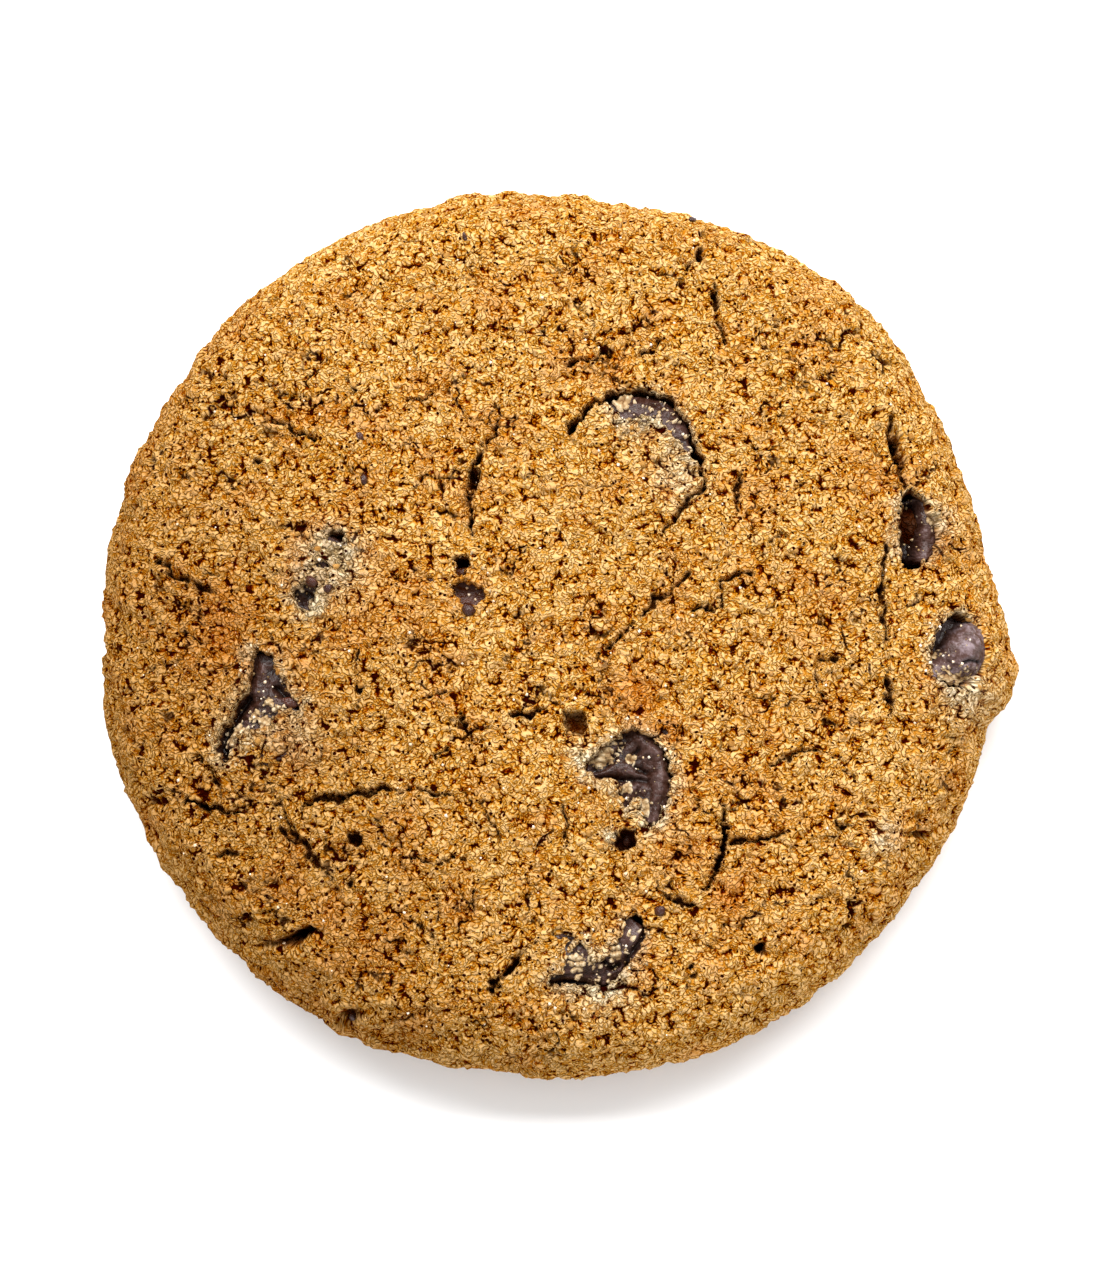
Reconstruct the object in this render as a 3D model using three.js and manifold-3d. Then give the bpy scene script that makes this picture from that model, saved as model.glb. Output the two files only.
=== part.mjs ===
// A round pumpkin spice cookie with chocolate chips baked into its crust.
// It lies on its flat base, right way up. Millimetres, +Z up.
// The origin is on the base, under the middle of the cookie's outer box.

import * as THREE from 'three';
import { mergeVertices } from 'three/addons/utils/BufferGeometryUtils.js';
import Module from 'manifold-3d';

const wasm = await Module();
wasm.setup();

// ---- Driving dimensions ----

const COOKIE = {
  radius: 42.5, // from the middle to the widest line of the edge
  edgeHeight: 4.3, // the widest line's height above the base
  baseRadius: 38.5, // the flat part of the underside
  shoulder: 8, // how far in from the edge the crust starts to turn down
  crust: 11.2, // height of the crust just inside the shoulder
  crown: 12.6, // height of the crust at the middle, without its mounds
};

const SIDES = 80; // flats round the cookie
const TOP_RINGS = 10; // rings of vertices from the middle to the shoulder
const SHOULDER_STEPS = 6;
const FOOT_STEPS = 3;

// Where the outline leaves a circle: angle and spread in degrees, and how far out.
const OUTLINE = [
  { angle: 355, spread: 4.5, out: 1.85 }, // the lump round the chip at the edge
  { angle: 20, spread: 10, out: -0.4 },
  { angle: 47, spread: 9, out: 0.75 },
  { angle: 80, spread: 8, out: -0.8 },
  { angle: 102, spread: 3, out: 0.35 },
  { angle: 130, spread: 7, out: 0.5 },
  { angle: 180, spread: 5, out: -0.4 },
  { angle: 243, spread: 3, out: 0.25 },
  { angle: 262, spread: 10, out: -0.45 },
  { angle: 300, spread: 15, out: 0.3 },
  { angle: 338, spread: 3, out: 0.2 },
];

// Swellings and hollows of the crust: the middle, the spread and the height.
const MOUNDS = [
  { at: [8.4, 15.3], spread: 4.4, height: 1.3 },
  { at: [13.1, -19.2], spread: 2.6, height: 1.1 },
  { at: [4.7, -18.4], spread: 3.0, height: 0.7 },
  { at: [24.4, -26.1], spread: 6.0, height: 0.6 },
  { at: [22.6, -15.5], spread: 4.0, height: 0.5 },
  { at: [22.8, 6.9], spread: 6.5, height: 0.6 },
  { at: [1.4, 31.2], spread: 6.0, height: 0.5 },
  { at: [-19.4, 25.3], spread: 7.0, height: 0.4 },
  { at: [-29.2, -24.5], spread: 4.5, height: 0.9 },
  { at: [-12.1, -22.2], spread: 4.5, height: 0.6 },
  { at: [-8.3, -32.3], spread: 4.5, height: 0.6 },
  { at: [-21.7, 6.7], spread: 3.0, height: 1.0 },
  { at: [-23.5, -10.0], spread: 3.2, height: 0.8 },
  { at: [37.6, -5.0], spread: 3.6, height: 1.9 },
  { at: [36.9, 12.6], spread: 3.4, height: 0.9 },
  { at: [-11.3, 5.0], spread: 4.5, height: -0.5 },
  { at: [8.5, -7.6], spread: 2.4, height: -0.6 },
  { at: [-15.8, 11.5], spread: 3.5, height: -0.4 },
];

// One chocolate chip: a drop that slumped a little in the oven. Radius and height pairs, tip last.
const CHIP_PROFILE = [
  [0, 0],
  [4.3, 0],
  [4.9, 0.6],
  [4.9, 1.8],
  [4.2, 3.5],
  [2.8, 5.0],
  [1.2, 6.0],
  [0, 6.4],
];
const CHIP_HEIGHT = 6.4;
const CHIP_SIDES = 12;

const POCKET_GAP = 0.3; // air between each chip and the dough round it

// Each chip: its middle, how deep its top lies under the crust, its size beside CHIP_PROFILE,
// how far it leans from tip-up and towards which bearing, in degrees,
// and the openings in the crust through which it shows.
const CHIPS = [
  {
    name: 'chip_domed',
    at: [8.9, 16.0],
    sunk: 1.5,
    size: 0.95,
    lean: 174,
    bearing: 40,
    openings: [
      [
        [1.9, 16.7], [3.6, 19.1], [5.9, 21.1], [8.8, 21.8], [11.9, 20.7], [14.1, 17.9], [15.4, 14.5], [14.9, 11.5],
        [13.8, 14.5], [12.1, 16.5], [11.0, 18.3], [8.8, 18.9], [7.2, 18.4], [6.2, 19.9], [3.9, 18.3],
      ],
    ],
  },
  {
    name: 'chip_in_crack',
    at: [34.5, 7.7],
    sunk: 0.9,
    size: 0.72,
    lean: 80,
    bearing: 275,
    openings: [
      [[33.9, 11.6], [35.5, 9.6], [36.5, 7.5], [35.0, 4.5], [33.5, 3.8], [32.7, 6.1], [33.0, 9.3]],
    ],
  },
  {
    name: 'chip_at_edge',
    at: [38.3, -3.3],
    sunk: 0.2,
    size: 0.66,
    lean: 35,
    bearing: 340,
    openings: [
      [[35.8, -3.0], [37.8, 0.0], [40.0, 1.4], [41.1, -0.6], [41.7, -3.8], [40.3, -6.0], [38.0, -6.8], [36.3, -5.5]],
    ],
  },
  {
    name: 'chip_left',
    at: [-26.8, -8.0],
    sunk: 0.9,
    size: 1.08,
    lean: 164,
    bearing: 60,
    openings: [
      [
        [-26.5, -2.5], [-24.8, -4.1], [-24.1, -5.9], [-22.3, -8.6], [-24.6, -8.3], [-25.8, -10.5],
        [-28.0, -10.4], [-29.0, -13.5], [-30.2, -12.0], [-28.7, -8.5], [-27.2, -6.0],
      ],
    ],
  },
  {
    name: 'chip_middle',
    at: [8.3, -14.5],
    sunk: 0.9,
    size: 0.98,
    lean: 162,
    bearing: 200,
    openings: [
      [
        [3.9, -14.6], [5.8, -12.0], [8.3, -10.6], [10.6, -11.9], [11.8, -14.4], [11.2, -17.0],
        [9.7, -19.3], [8.8, -16.6], [7.5, -17.4], [6.9, -15.5],
      ],
    ],
  },
  {
    name: 'chip_low',
    at: [5.2, -31.7],
    sunk: 0.9,
    size: 0.93,
    lean: 164,
    bearing: 90,
    openings: [
      [
        [0.0, -33.9], [2.3, -32.2], [3.4, -29.9], [4.6, -32.0], [6.1, -31.1], [8.3, -27.4],
        [9.2, -29.1], [7.7, -32.0], [5.8, -34.0], [3.1, -33.7],
      ],
    ],
  },
  {
    name: 'chip_hidden',
    at: [-20.8, 4.3],
    sunk: 0.9,
    size: 0.86,
    lean: 20,
    bearing: 120,
    openings: [
      [[-20.0, 7.2], [-19.1, 7.9], [-18.3, 7.6], [-19.0, 6.8]],
      [[-23.3, 2.1], [-22.0, 3.2], [-20.8, 2.3], [-21.8, 0.8]],
      [[-21.0, 4.7], [-20.3, 5.2], [-19.5, 4.9], [-20.3, 4.4]],
    ],
  },
  {
    name: 'chip_small',
    at: [-6.9, 2.8],
    sunk: 1.6,
    size: 0.5,
    lean: 160,
    bearing: 90,
    openings: [
      [[-8.2, 2.7], [-7.0, 3.4], [-5.3, 2.2], [-5.8, 1.1], [-7.4, 1.1]],
      [[-8.1, 4.1], [-7.9, 5.6], [-7.0, 5.9], [-6.6, 4.6], [-7.3, 3.8]],
    ],
  },
];

// Cracks in the crust: a path, the width at its widest and the depth.
const CRACKS = [
  { path: [[-4.1, 18.4], [-6.4, 14.3], [-6.7, 10.2], [-6.3, 6.9]], width: 0.9, depth: 2.2 },
  { path: [[2.3, 23.5], [4.4, 24.2], [6.5, 24.9]], width: 0.8, depth: 1.8 },
  { path: [[8.7, 24.5], [10.2, 24.9], [11.0, 25.9]], width: 0.9, depth: 1.8 },
  { path: [[14.6, 11.8], [13.5, 10.9], [12.3, 9.0]], width: 0.7, depth: 1.8 },
  { path: [[18.1, 13.1], [17.8, 11.3], [17.7, 9.5]], width: 0.8, depth: 1.6 },
  { path: [[16.1, 31.6], [15.9, 29.7], [16.2, 27.7]], width: 0.8, depth: 1.6 },
  { path: [[32.2, 18.8], [32.7, 15.6], [33.6, 11.8]], width: 1.1, depth: 2.2 },
  { path: [[31.5, 6.3], [31.0, 2.6], [31.5, -2.8]], width: 0.8, depth: 1.8 },
  { path: [[31.8, -5.0], [31.9, -7.0], [31.7, -9.2]], width: 0.8, depth: 1.8 },
  { path: [[24.9, -4.6], [25.9, -4.4], [28.4, -4.1]], width: 0.8, depth: 1.6 },
  { path: [[26.8, -18.6], [27.2, -19.7], [27.6, -20.6]], width: 0.9, depth: 1.8 },
  { path: [[32.5, -20.0], [34.7, -20.0], [36.1, -20.4]], width: 0.9, depth: 1.8 },
  { path: [[5.9, -3.0], [9.1, 0.2], [12.1, 2.6], [13.5, 4.1]], width: 0.8, depth: 1.8 },
  { path: [[13.6, 0.7], [16.2, 0.6], [16.0, 3.1], [19.0, 3.8]], width: 0.8, depth: 1.8 },
  { path: [[20.6, -14.2], [22.7, -13.0], [26.2, -12.9]], width: 0.7, depth: 1.6 },
  { path: [[15.4, -14.6], [16.6, -19.5], [16.0, -23.1], [13.7, -26.7]], width: 1.2, depth: 2.6 },
  { path: [[17.3, -20.9], [19.3, -20.7], [22.1, -19.9]], width: 0.8, depth: 1.8 },
  { path: [[1.9, -17.8], [2.1, -19.5], [2.2, -21.1]], width: 0.6, depth: 1.6 },
  { path: [[-5.4, -35.1], [-4.0, -33.2], [-2.1, -31.2], [1.1, -28.6]], width: 1.2, depth: 2.2 },
  { path: [[-3.1, -9.1], [-1.2, -9.1], [0.2, -8.5]], width: 0.8, depth: 1.8 },
  { path: [[-17.4, -10.1], [-17.1, -12.4], [-17.2, -13.6]], width: 0.6, depth: 1.4 },
  { path: [[-21.6, -17.3], [-19.7, -16.7], [-17.2, -16.4], [-13.5, -15.7]], width: 0.8, depth: 2.0 },
  { path: [[-24.8, -15.7], [-23.2, -19.4], [-20.2, -23.3], [-18.7, -24.7]], width: 0.8, depth: 1.8 },
  { path: [[-12.2, -27.1], [-11.3, -28.4], [-9.9, -29.7]], width: 0.7, depth: 1.4 },
  { path: [[-33.0, -16.9], [-30.5, -17.4], [-27.7, -18.1]], width: 0.8, depth: 1.8 },
  { path: [[-26.6, -30.3], [-24.8, -29.9], [-22.9, -29.6], [-20.3, -27.7]], width: 1.2, depth: 2.2 },
  { path: [[-19.7, -37.5], [-18.0, -36.5], [-16.3, -36.2]], width: 1.5, depth: 2.4 },
  { path: [[-25.1, 18.4], [-23.3, 17.9], [-21.6, 16.8]], width: 0.9, depth: 2.0 },
  { path: [[-33.1, 3.3], [-31.1, 3.0], [-29.0, 2.3]], width: 0.7, depth: 1.4 },
];

// Round pits in the crust: the middle, the size across and the depth.
const PITS = [
  { at: [2.9, -10.0], size: 3.2, depth: 1.6 },
  { at: [7.4, -20.7], size: 2.4, depth: 3.2 },
  { at: [11.4, -10.8], size: 1.1, depth: 1.8 },
  { at: [13.5, -32.3], size: 1.4, depth: 2.0 },
  { at: [19.7, -30.5], size: 1.7, depth: 2.0 },
  { at: [18.1, -34.4], size: 1.2, depth: 1.8 },
  { at: [15.2, -30.2], size: 1.0, depth: 1.6 },
  { at: [23.5, -25.2], size: 0.9, depth: 1.6 },
  { at: [-17.0, -20.4], size: 1.8, depth: 2.4 },
  { at: [-17.5, -24.5], size: 1.2, depth: 1.8 },
  { at: [-4.4, -20.6], size: 1.2, depth: 1.6 },
  { at: [-16.9, -7.7], size: 1.0, depth: 1.6 },
  { at: [-8.9, -12.3], size: 1.0, depth: 1.6 },
  { at: [-26.7, -15.8], size: 1.1, depth: 1.6 },
  { at: [-30.0, 23.0], size: 1.2, depth: 1.8 },
  { at: [-28.9, 21.0], size: 1.0, depth: 1.6 },
  { at: [-23.6, 19.8], size: 1.2, depth: 1.8 },
  { at: [-26.7, 14.9], size: 1.4, depth: 1.8 },
  { at: [-10.5, 3.5], size: 1.1, depth: 1.6 },
  { at: [-3.1, 27.1], size: 1.0, depth: 1.6 },
  { at: [14.5, 34.1], size: 1.3, depth: 1.8 },
  { at: [1.7, 24.8], size: 1.0, depth: 1.6 },
  { at: [21.0, 6.7], size: 1.2, depth: 1.6 },
  { at: [34.2, -18.3], size: 1.1, depth: 1.6 },
];

const CUT_TOP = 20; // the cutters reach this height, well clear of the crust
const CRACK_STEPS = 2; // steps along a crack between two points of its path
const OUTLINE_STEPS = 2; // steps along an opening's edge between two of its points
const PIT_SIDES = 6;
const PIT_ROWS = 4;

// ---- Materials ----

const doughMaterial = new THREE.MeshStandardMaterial({ color: 0xc48c43, roughness: 0.85, metalness: 0 });
const chocolateMaterial = new THREE.MeshStandardMaterial({ color: 0x4a342b, roughness: 0.45, metalness: 0 });

// ---- The crust's form ----

const radians = THREE.MathUtils.degToRad;

function bell(distance, spread) {
  return Math.exp(-0.5 * (distance / spread) ** 2);
}

// How far the outline stands out from the circle at an angle in degrees.
function outlineAt(angle) {
  let out = 0;
  for (const part of OUTLINE) {
    const turn = THREE.MathUtils.euclideanModulo(angle - part.angle + 180, 360) - 180;
    out += part.out * bell(turn, part.spread);
  }
  return out;
}

function moundsAt(x, y) {
  let height = 0;
  for (const mound of MOUNDS) {
    height += mound.height * bell(Math.hypot(x - mound.at[0], y - mound.at[1]), mound.spread);
  }
  return height;
}

// The crust's height over the base at a radius of the plain round cookie.
function plainHeight(radius) {
  const flat = COOKIE.radius - COOKIE.shoulder;
  if (radius <= flat) {
    return COOKIE.crust + (COOKIE.crown - COOKIE.crust) * Math.cos((Math.PI / 2) * (radius / flat));
  }
  const across = Math.min(1, (radius - flat) / COOKIE.shoulder);
  return COOKIE.edgeHeight + (COOKIE.crust - COOKIE.edgeHeight) * Math.sqrt(1 - across * across);
}

// The crust's height at a place, its mounds and the outline's swellings included.
function crustHeight(x, y) {
  const angle = THREE.MathUtils.radToDeg(Math.atan2(y, x));
  const radius = Math.hypot(x, y);
  const share = radius / COOKIE.radius;
  return plainHeight(radius - outlineAt(angle) * share ** 2) + moundsAt(x, y);
}

// ---- Solids ----

// A closed three.js geometry as a solid for joining and cutting.
function toSolid(geometry) {
  const bare = geometry.clone();
  bare.deleteAttribute('normal');
  bare.deleteAttribute('uv');
  const merged = mergeVertices(bare, 1e-4);
  const index = merged.index.array;
  const triangles = [];
  for (let i = 0; i < index.length; i += 3) {
    const [a, b, c] = index.slice(i, i + 3);
    if (a !== b && b !== c && c !== a) {
      triangles.push(a, b, c);
    }
  }
  const mesh = new wasm.Mesh({
    numProp: 3,
    vertProperties: merged.attributes.position.array,
    triVerts: new Uint32Array(triangles),
  });
  return new wasm.Manifold(mesh);
}

function toGeometry(solid) {
  const mesh = solid.getMesh();
  const geometry = new THREE.BufferGeometry();
  geometry.setAttribute('position', new THREE.BufferAttribute(mesh.vertProperties, 3));
  geometry.setIndex(new THREE.BufferAttribute(mesh.triVerts, 1));
  geometry.computeVertexNormals();
  return geometry;
}

// Half a cookie's section, from the middle of the base round the edge to the middle of the crust.
function doughProfile() {
  const points = [new THREE.Vector2(0, 0), new THREE.Vector2(COOKIE.baseRadius / 2, 0)];
  const foot = COOKIE.radius - COOKIE.baseRadius;
  for (let i = 0; i <= FOOT_STEPS; i += 1) {
    const turn = (Math.PI / 2) * (i / FOOT_STEPS);
    const z = COOKIE.edgeHeight * (1 - Math.cos(turn));
    points.push(new THREE.Vector2(COOKIE.baseRadius + foot * Math.sin(turn), z));
  }
  for (let i = 1; i <= SHOULDER_STEPS; i += 1) {
    const turn = (Math.PI / 2) * (i / SHOULDER_STEPS);
    const radius = COOKIE.radius - COOKIE.shoulder * (1 - Math.cos(turn));
    points.push(new THREE.Vector2(radius, plainHeight(radius)));
  }
  const flat = COOKIE.radius - COOKIE.shoulder;
  for (let i = TOP_RINGS - 1; i >= 0; i -= 1) {
    const radius = (flat * i) / TOP_RINGS;
    points.push(new THREE.Vector2(radius, plainHeight(radius)));
  }
  return points;
}

// The whole dough without its pockets and cracks: the turned form, pushed out to the uneven
// outline and up to the mounds.
function wholeDough() {
  const geometry = new THREE.LatheGeometry(doughProfile(), SIDES);
  geometry.rotateX(Math.PI / 2);
  const position = geometry.attributes.position;
  for (let i = 0; i < position.count; i += 1) {
    const x = position.getX(i);
    const y = position.getY(i);
    const z = position.getZ(i);
    const radius = Math.hypot(x, y);
    if (radius < 1e-6) {
      position.setXYZ(i, 0, 0, z > 0 ? z + moundsAt(0, 0) : 0);
      continue;
    }
    const angle = THREE.MathUtils.radToDeg(Math.atan2(y, x));
    const grown = 1 + (outlineAt(angle) * (radius / COOKIE.radius) ** 2) / radius;
    const lift = THREE.MathUtils.smoothstep(z, COOKIE.edgeHeight, COOKIE.crust);
    position.setXYZ(i, x * grown, y * grown, z + lift * moundsAt(x * grown, y * grown));
  }
  return toSolid(geometry);
}

// A chip's form, grown outwards by a gap. Its middle is at the origin.
function chipGeometry(size, gap) {
  const points = [];
  for (const [radius, height] of CHIP_PROFILE) {
    const z = (height - CHIP_HEIGHT / 2) * size;
    const scale = 1 + gap / (CHIP_HEIGHT / 2);
    points.push(new THREE.Vector2(radius * size * scale, z * scale));
  }
  const geometry = new THREE.LatheGeometry(points, CHIP_SIDES);
  geometry.rotateX(Math.PI / 2);
  return geometry;
}

// Turns a tip-up chip so that its tip leans over towards its bearing.
function chipRotation(chip) {
  const bearing = radians(chip.bearing);
  const axis = new THREE.Vector3(-Math.sin(bearing), Math.cos(bearing), 0);
  return new THREE.Quaternion().setFromAxisAngle(axis, radians(chip.lean));
}

// A chip's place in the dough: its highest point lies as deep under the crust as it is sunk.
function chipPose(chip) {
  const rotation = chipRotation(chip);
  const turned = chipGeometry(chip.size, 0).applyQuaternion(rotation);
  turned.computeBoundingBox();
  const top = crustHeight(chip.at[0], chip.at[1]) - chip.sunk;
  const position = new THREE.Vector3(chip.at[0], chip.at[1], top - turned.boundingBox.max.z);
  return { position, rotation };
}

// An upright cutter with a closed outline, from a floor up past the crust.
function uprightCutter(outline, floor) {
  const shape = new THREE.Shape(outline);
  const geometry = new THREE.ExtrudeGeometry(shape, { depth: CUT_TOP - floor, bevelEnabled: false });
  geometry.translate(0, 0, floor);
  return toSolid(geometry);
}

function openingCutter(points, floor) {
  const corners = points.map(([x, y]) => new THREE.Vector3(x, y, 0));
  const curve = new THREE.CatmullRomCurve3(corners, true, 'centripetal');
  const outline = curve.getPoints(points.length * OUTLINE_STEPS).slice(0, -1);
  return uprightCutter(outline.map((p) => new THREE.Vector2(p.x, p.y)), floor);
}

// A crack is widest along its middle and comes to a point at both ends.
function crackCutter(crack) {
  const curve = new THREE.SplineCurve(crack.path.map(([x, y]) => new THREE.Vector2(x, y)));
  const steps = CRACK_STEPS * (crack.path.length - 1);
  const left = [];
  const right = [];
  for (let i = 0; i <= steps; i += 1) {
    const share = i / steps;
    const middle = curve.getPoint(share);
    const along = curve.getTangent(share);
    const half = (crack.width / 2) * Math.sqrt(Math.sin(Math.PI * share));
    const aside = new THREE.Vector2(-along.y, along.x).multiplyScalar(half);
    left.push(middle.clone().add(aside));
    if (i > 0 && i < steps) {
      right.push(middle.clone().sub(aside));
    }
  }
  const deepest = curve.getPoint(0.5);
  const floor = crustHeight(deepest.x, deepest.y) - crack.depth;
  return uprightCutter(left.concat(right.reverse()), floor);
}

function pitCutter(pit) {
  const [x, y] = pit.at;
  const geometry = new THREE.SphereGeometry(pit.size / 2, PIT_SIDES, PIT_ROWS);
  geometry.rotateX(Math.PI / 2);
  geometry.scale(1, 1, pit.depth / (pit.size / 2));
  geometry.translate(x, y, crustHeight(x, y));
  return toSolid(geometry);
}

// ---- The pieces ----

function addChips(group) {
  for (const chip of CHIPS) {
    const { position, rotation } = chipPose(chip);
    const mesh = new THREE.Mesh(chipGeometry(chip.size, 0), chocolateMaterial.clone());
    mesh.name = chip.name;
    mesh.position.copy(position);
    mesh.quaternion.copy(rotation);
    group.add(mesh);
  }
}

// What is cut out of the dough for one chip: its pocket, and its openings down to its middle.
function chipRoom(chip) {
  const { position, rotation } = chipPose(chip);
  const pocket = chipGeometry(chip.size, POCKET_GAP).applyQuaternion(rotation);
  pocket.translate(position.x, position.y, position.z);
  let room = toSolid(pocket);
  for (const points of chip.openings) {
    room = room.add(openingCutter(points, position.z));
  }
  return room;
}

function addDough(group) {
  let dough = wholeDough();
  for (const chip of CHIPS) {
    dough = dough.subtract(chipRoom(chip));
  }
  for (const crack of CRACKS) {
    dough = dough.subtract(crackCutter(crack));
  }
  for (const pit of PITS) {
    dough = dough.subtract(pitCutter(pit));
  }
  const mesh = new THREE.Mesh(toGeometry(dough), doughMaterial);
  mesh.name = 'dough';
  group.add(mesh);
}

const group = new THREE.Group();
addDough(group);
addChips(group);

// Moves the cookie so that the origin is under the middle of its outer box.
const box = new THREE.Box3().setFromObject(group);
const middle = box.getCenter(new THREE.Vector3());
group.position.set(-middle.x, -middle.y, -box.min.z);
group.updateMatrixWorld(true);

export default group;
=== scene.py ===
"""A round pumpkin spice cookie with chocolate chips, on a pale floor, seen from nearly straight above.

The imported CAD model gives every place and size: the outline, the swellings, the cracks and pits of
the crust, and the chips. This script models the baked surface over it: a granular crust with hairline
cracks, whole chips with a bloom, and the loose crumbs, sugar grains and chocolate specks. Lengths are
millimetres until a mesh is made, and Blender's own units are metres. Places written as numbers are
measured from the cookie's middle, and bearings in degrees from the x axis.
"""

import math
from functools import reduce

import bmesh
import bpy
import numpy as np
from mathutils import Matrix, Vector
from mathutils.bvhtree import BVHTree


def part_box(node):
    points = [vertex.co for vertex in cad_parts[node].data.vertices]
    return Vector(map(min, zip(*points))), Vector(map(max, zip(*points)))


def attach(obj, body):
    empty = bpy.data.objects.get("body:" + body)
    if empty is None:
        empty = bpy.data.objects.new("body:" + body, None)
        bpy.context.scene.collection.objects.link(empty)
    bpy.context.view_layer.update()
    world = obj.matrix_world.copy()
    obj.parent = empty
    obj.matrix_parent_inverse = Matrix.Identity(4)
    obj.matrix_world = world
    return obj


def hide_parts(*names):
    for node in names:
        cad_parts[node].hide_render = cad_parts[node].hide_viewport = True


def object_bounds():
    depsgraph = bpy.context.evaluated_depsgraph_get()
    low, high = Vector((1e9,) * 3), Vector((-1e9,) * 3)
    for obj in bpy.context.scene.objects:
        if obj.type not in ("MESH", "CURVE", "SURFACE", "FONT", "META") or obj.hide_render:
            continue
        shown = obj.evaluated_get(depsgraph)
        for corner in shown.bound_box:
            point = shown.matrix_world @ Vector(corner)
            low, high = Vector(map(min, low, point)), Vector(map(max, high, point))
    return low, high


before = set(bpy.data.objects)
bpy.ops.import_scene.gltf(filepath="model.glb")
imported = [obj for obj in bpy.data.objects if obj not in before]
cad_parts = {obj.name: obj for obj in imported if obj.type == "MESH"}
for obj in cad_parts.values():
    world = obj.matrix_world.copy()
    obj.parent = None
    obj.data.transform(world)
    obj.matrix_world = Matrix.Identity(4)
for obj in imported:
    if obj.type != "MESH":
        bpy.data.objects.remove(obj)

cad_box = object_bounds()

MM = 0.001
rng = np.random.default_rng(20)

# ---- Sizes, in millimetres ----

TOP_PITCH = 0.23  # between neighbouring points of the crust
SIDE_PITCH = 0.46
EDGE_PITCH = 0.8  # where the side meets the base
BASE_PITCH = 1.6
CHIP_PITCH = 0.18
ROW = 0.87  # between rings of points, in pitches

MAP_STEP = 0.15  # between the points of the height maps
MAP_MARGIN = 3.0
FARTHEST = 2.4  # distances from a cut's edge are measured up to this
WIDEST_OPENING = 8.4  # no opening or crack in the crust is wider
CUT_DEPTH = 0.62  # the crust lies this far under its lid where it is cut

LEVEL_RADIUS = 39.0  # the crust is level enough inside this for cuts to show in the height maps
UNDER_CHIP = 0.7  # the dough in an opening is modelled this far below the chip's top
CORE_INSET = 9.0  # the ring inside the edge from which the side is measured
CORE_HEIGHT = 5.0
SIDE_ANGLES = 720
SIDE_RISES = 37
BLEND_RISES = (50, 80)  # between these rises in degrees the side's form goes over into the crust's
HIGHEST_SIDE_CUT = 70  # cuts above this rise show in the height maps instead

GRANULE = 0.62  # across one granule of the crust
WORM = 0.44  # across one of the crooked ridges on it
PINHOLE = 0.8  # between the pinholes
CLUMP = 1.5  # across one clump of granules
PLATE = 4.0  # across one plate of the crust
SWELL = 9.0
CHIP_CRUMB = 0.5  # across one of the crumbs that stick to a chip
CHIP_LOWERED = 0.9  # a chip's top is lowered no further than this

SHADED_SIDE_BEARING = 205  # the side of the cookie that painted shade darkens most
SHADED_SIDE_REACH = (2, 38)  # how far that way the painted shade starts and is full
LUMP_ANGLE = 352.5  # round the cookie to the lump on the edge, which is fuller than the CAD model's
LUMP_EXTRA = 0.45
EDGE_DRAWN_IN = 0.15  # how far the side is drawn in, to make room for its granules
LIP = 0.16  # how far the crust stands up beside an opening or a crack
JAG = 2.2  # how far the edges of openings and cracks may stray, times a wave of 0 to 1
CRACK_RAGGED = 0.7  # how ragged a crack's edges are, beside 1 for an opening's
NARROWED = 0.2  # how much narrower each side of a crack shows than its CAD cut
HAIRLINE_DEPTH = 1.3

CRUMB_COUNT = 800  # thrown over the whole crust, and left out over a chip
CRUMB_SUNK = 0.1
PALE_COUNT = 220  # pale crumbs beside the chips
PALE_ON_CHIPS = 60
SUGAR_COUNT = 150
GLINT_GRAINS_ON_CHIPS = 60

FLOOR_HALF = 4000.0  # half the floor's width

BODY = "root"  # the CAD model's one body, which every piece rides on


# ---- Arrays on grids ----


def kernel(sigma):
    """Weights of a bell curve, sigma in grid steps."""
    reach = max(1, math.ceil(3 * sigma))
    weights = np.exp(-0.5 * (np.arange(-reach, reach + 1) / sigma) ** 2)
    return weights / weights.sum()


def slid(grid, reach, axis, wrap=False):
    """The grid moved by -reach to reach steps along an axis, one after the other. Past its ends it
    has its last values again, or wraps round along the first axis."""
    pad = [(0, 0), (0, 0)]
    pad[axis] = (reach, reach)
    padded = np.pad(grid, pad, mode="wrap" if wrap and axis == 0 else "edge")
    for k in range(2 * reach + 1):
        yield padded.take(range(k, k + grid.shape[axis]), axis)


def blurred(grid, sigma, wrap=False):
    """The grid smoothed along both axes. sigma is one number or one for each axis, in grid steps."""
    for axis, spread in enumerate(np.broadcast_to(sigma, 2)):
        weights = kernel(spread)
        moved = slid(grid, len(weights) // 2, axis, wrap)
        grid = sum(weight * part for weight, part in zip(weights, moved))
    return grid


def spread_extreme(grid, reach, pick, wrap=False):
    """The largest or smallest value within reach steps along both axes."""
    for axis, steps in enumerate(np.broadcast_to(reach, 2)):
        grid = reduce(pick, slid(grid, steps, axis, wrap))
    return grid


def closed_over(grid, reach, wrap=False):
    """The grid with every dip narrower than twice the reach filled level."""
    return spread_extreme(spread_extreme(grid, reach, np.maximum, wrap), reach, np.minimum, wrap)


def filled_in(grid, known, sigma, wrap=False):
    """A smooth grid through the known points, carried across the others."""
    weight = blurred(known.astype(float), sigma, wrap)
    return blurred(np.where(known, grid, 0.0), sigma, wrap) / np.maximum(weight, 1e-9)


def read_between(grid, u, v):
    """The grid's values between its points, u and v steps along it. Its first axis wraps round."""
    i, j = u.astype(int), v.astype(int)
    fu, fv = u - i, v - j
    after = (i + 1) % len(grid)
    here = grid[i, j] * (1 - fv) + grid[i, j + 1] * fv
    there = grid[after, j] * (1 - fv) + grid[after, j + 1] * fv
    return here * (1 - fu) + there * fu


def smooth_step(value, low, high):
    """Goes smoothly from 0 to 1 as the value goes from low to high."""
    share = np.clip((value - low) / (high - low), 0, 1)
    return share * share * (3 - 2 * share)


def toward(bearing):
    """The way across the floor at a bearing in degrees."""
    return math.cos(math.radians(bearing)), math.sin(math.radians(bearing))


# ---- What the CAD model says ----


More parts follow.
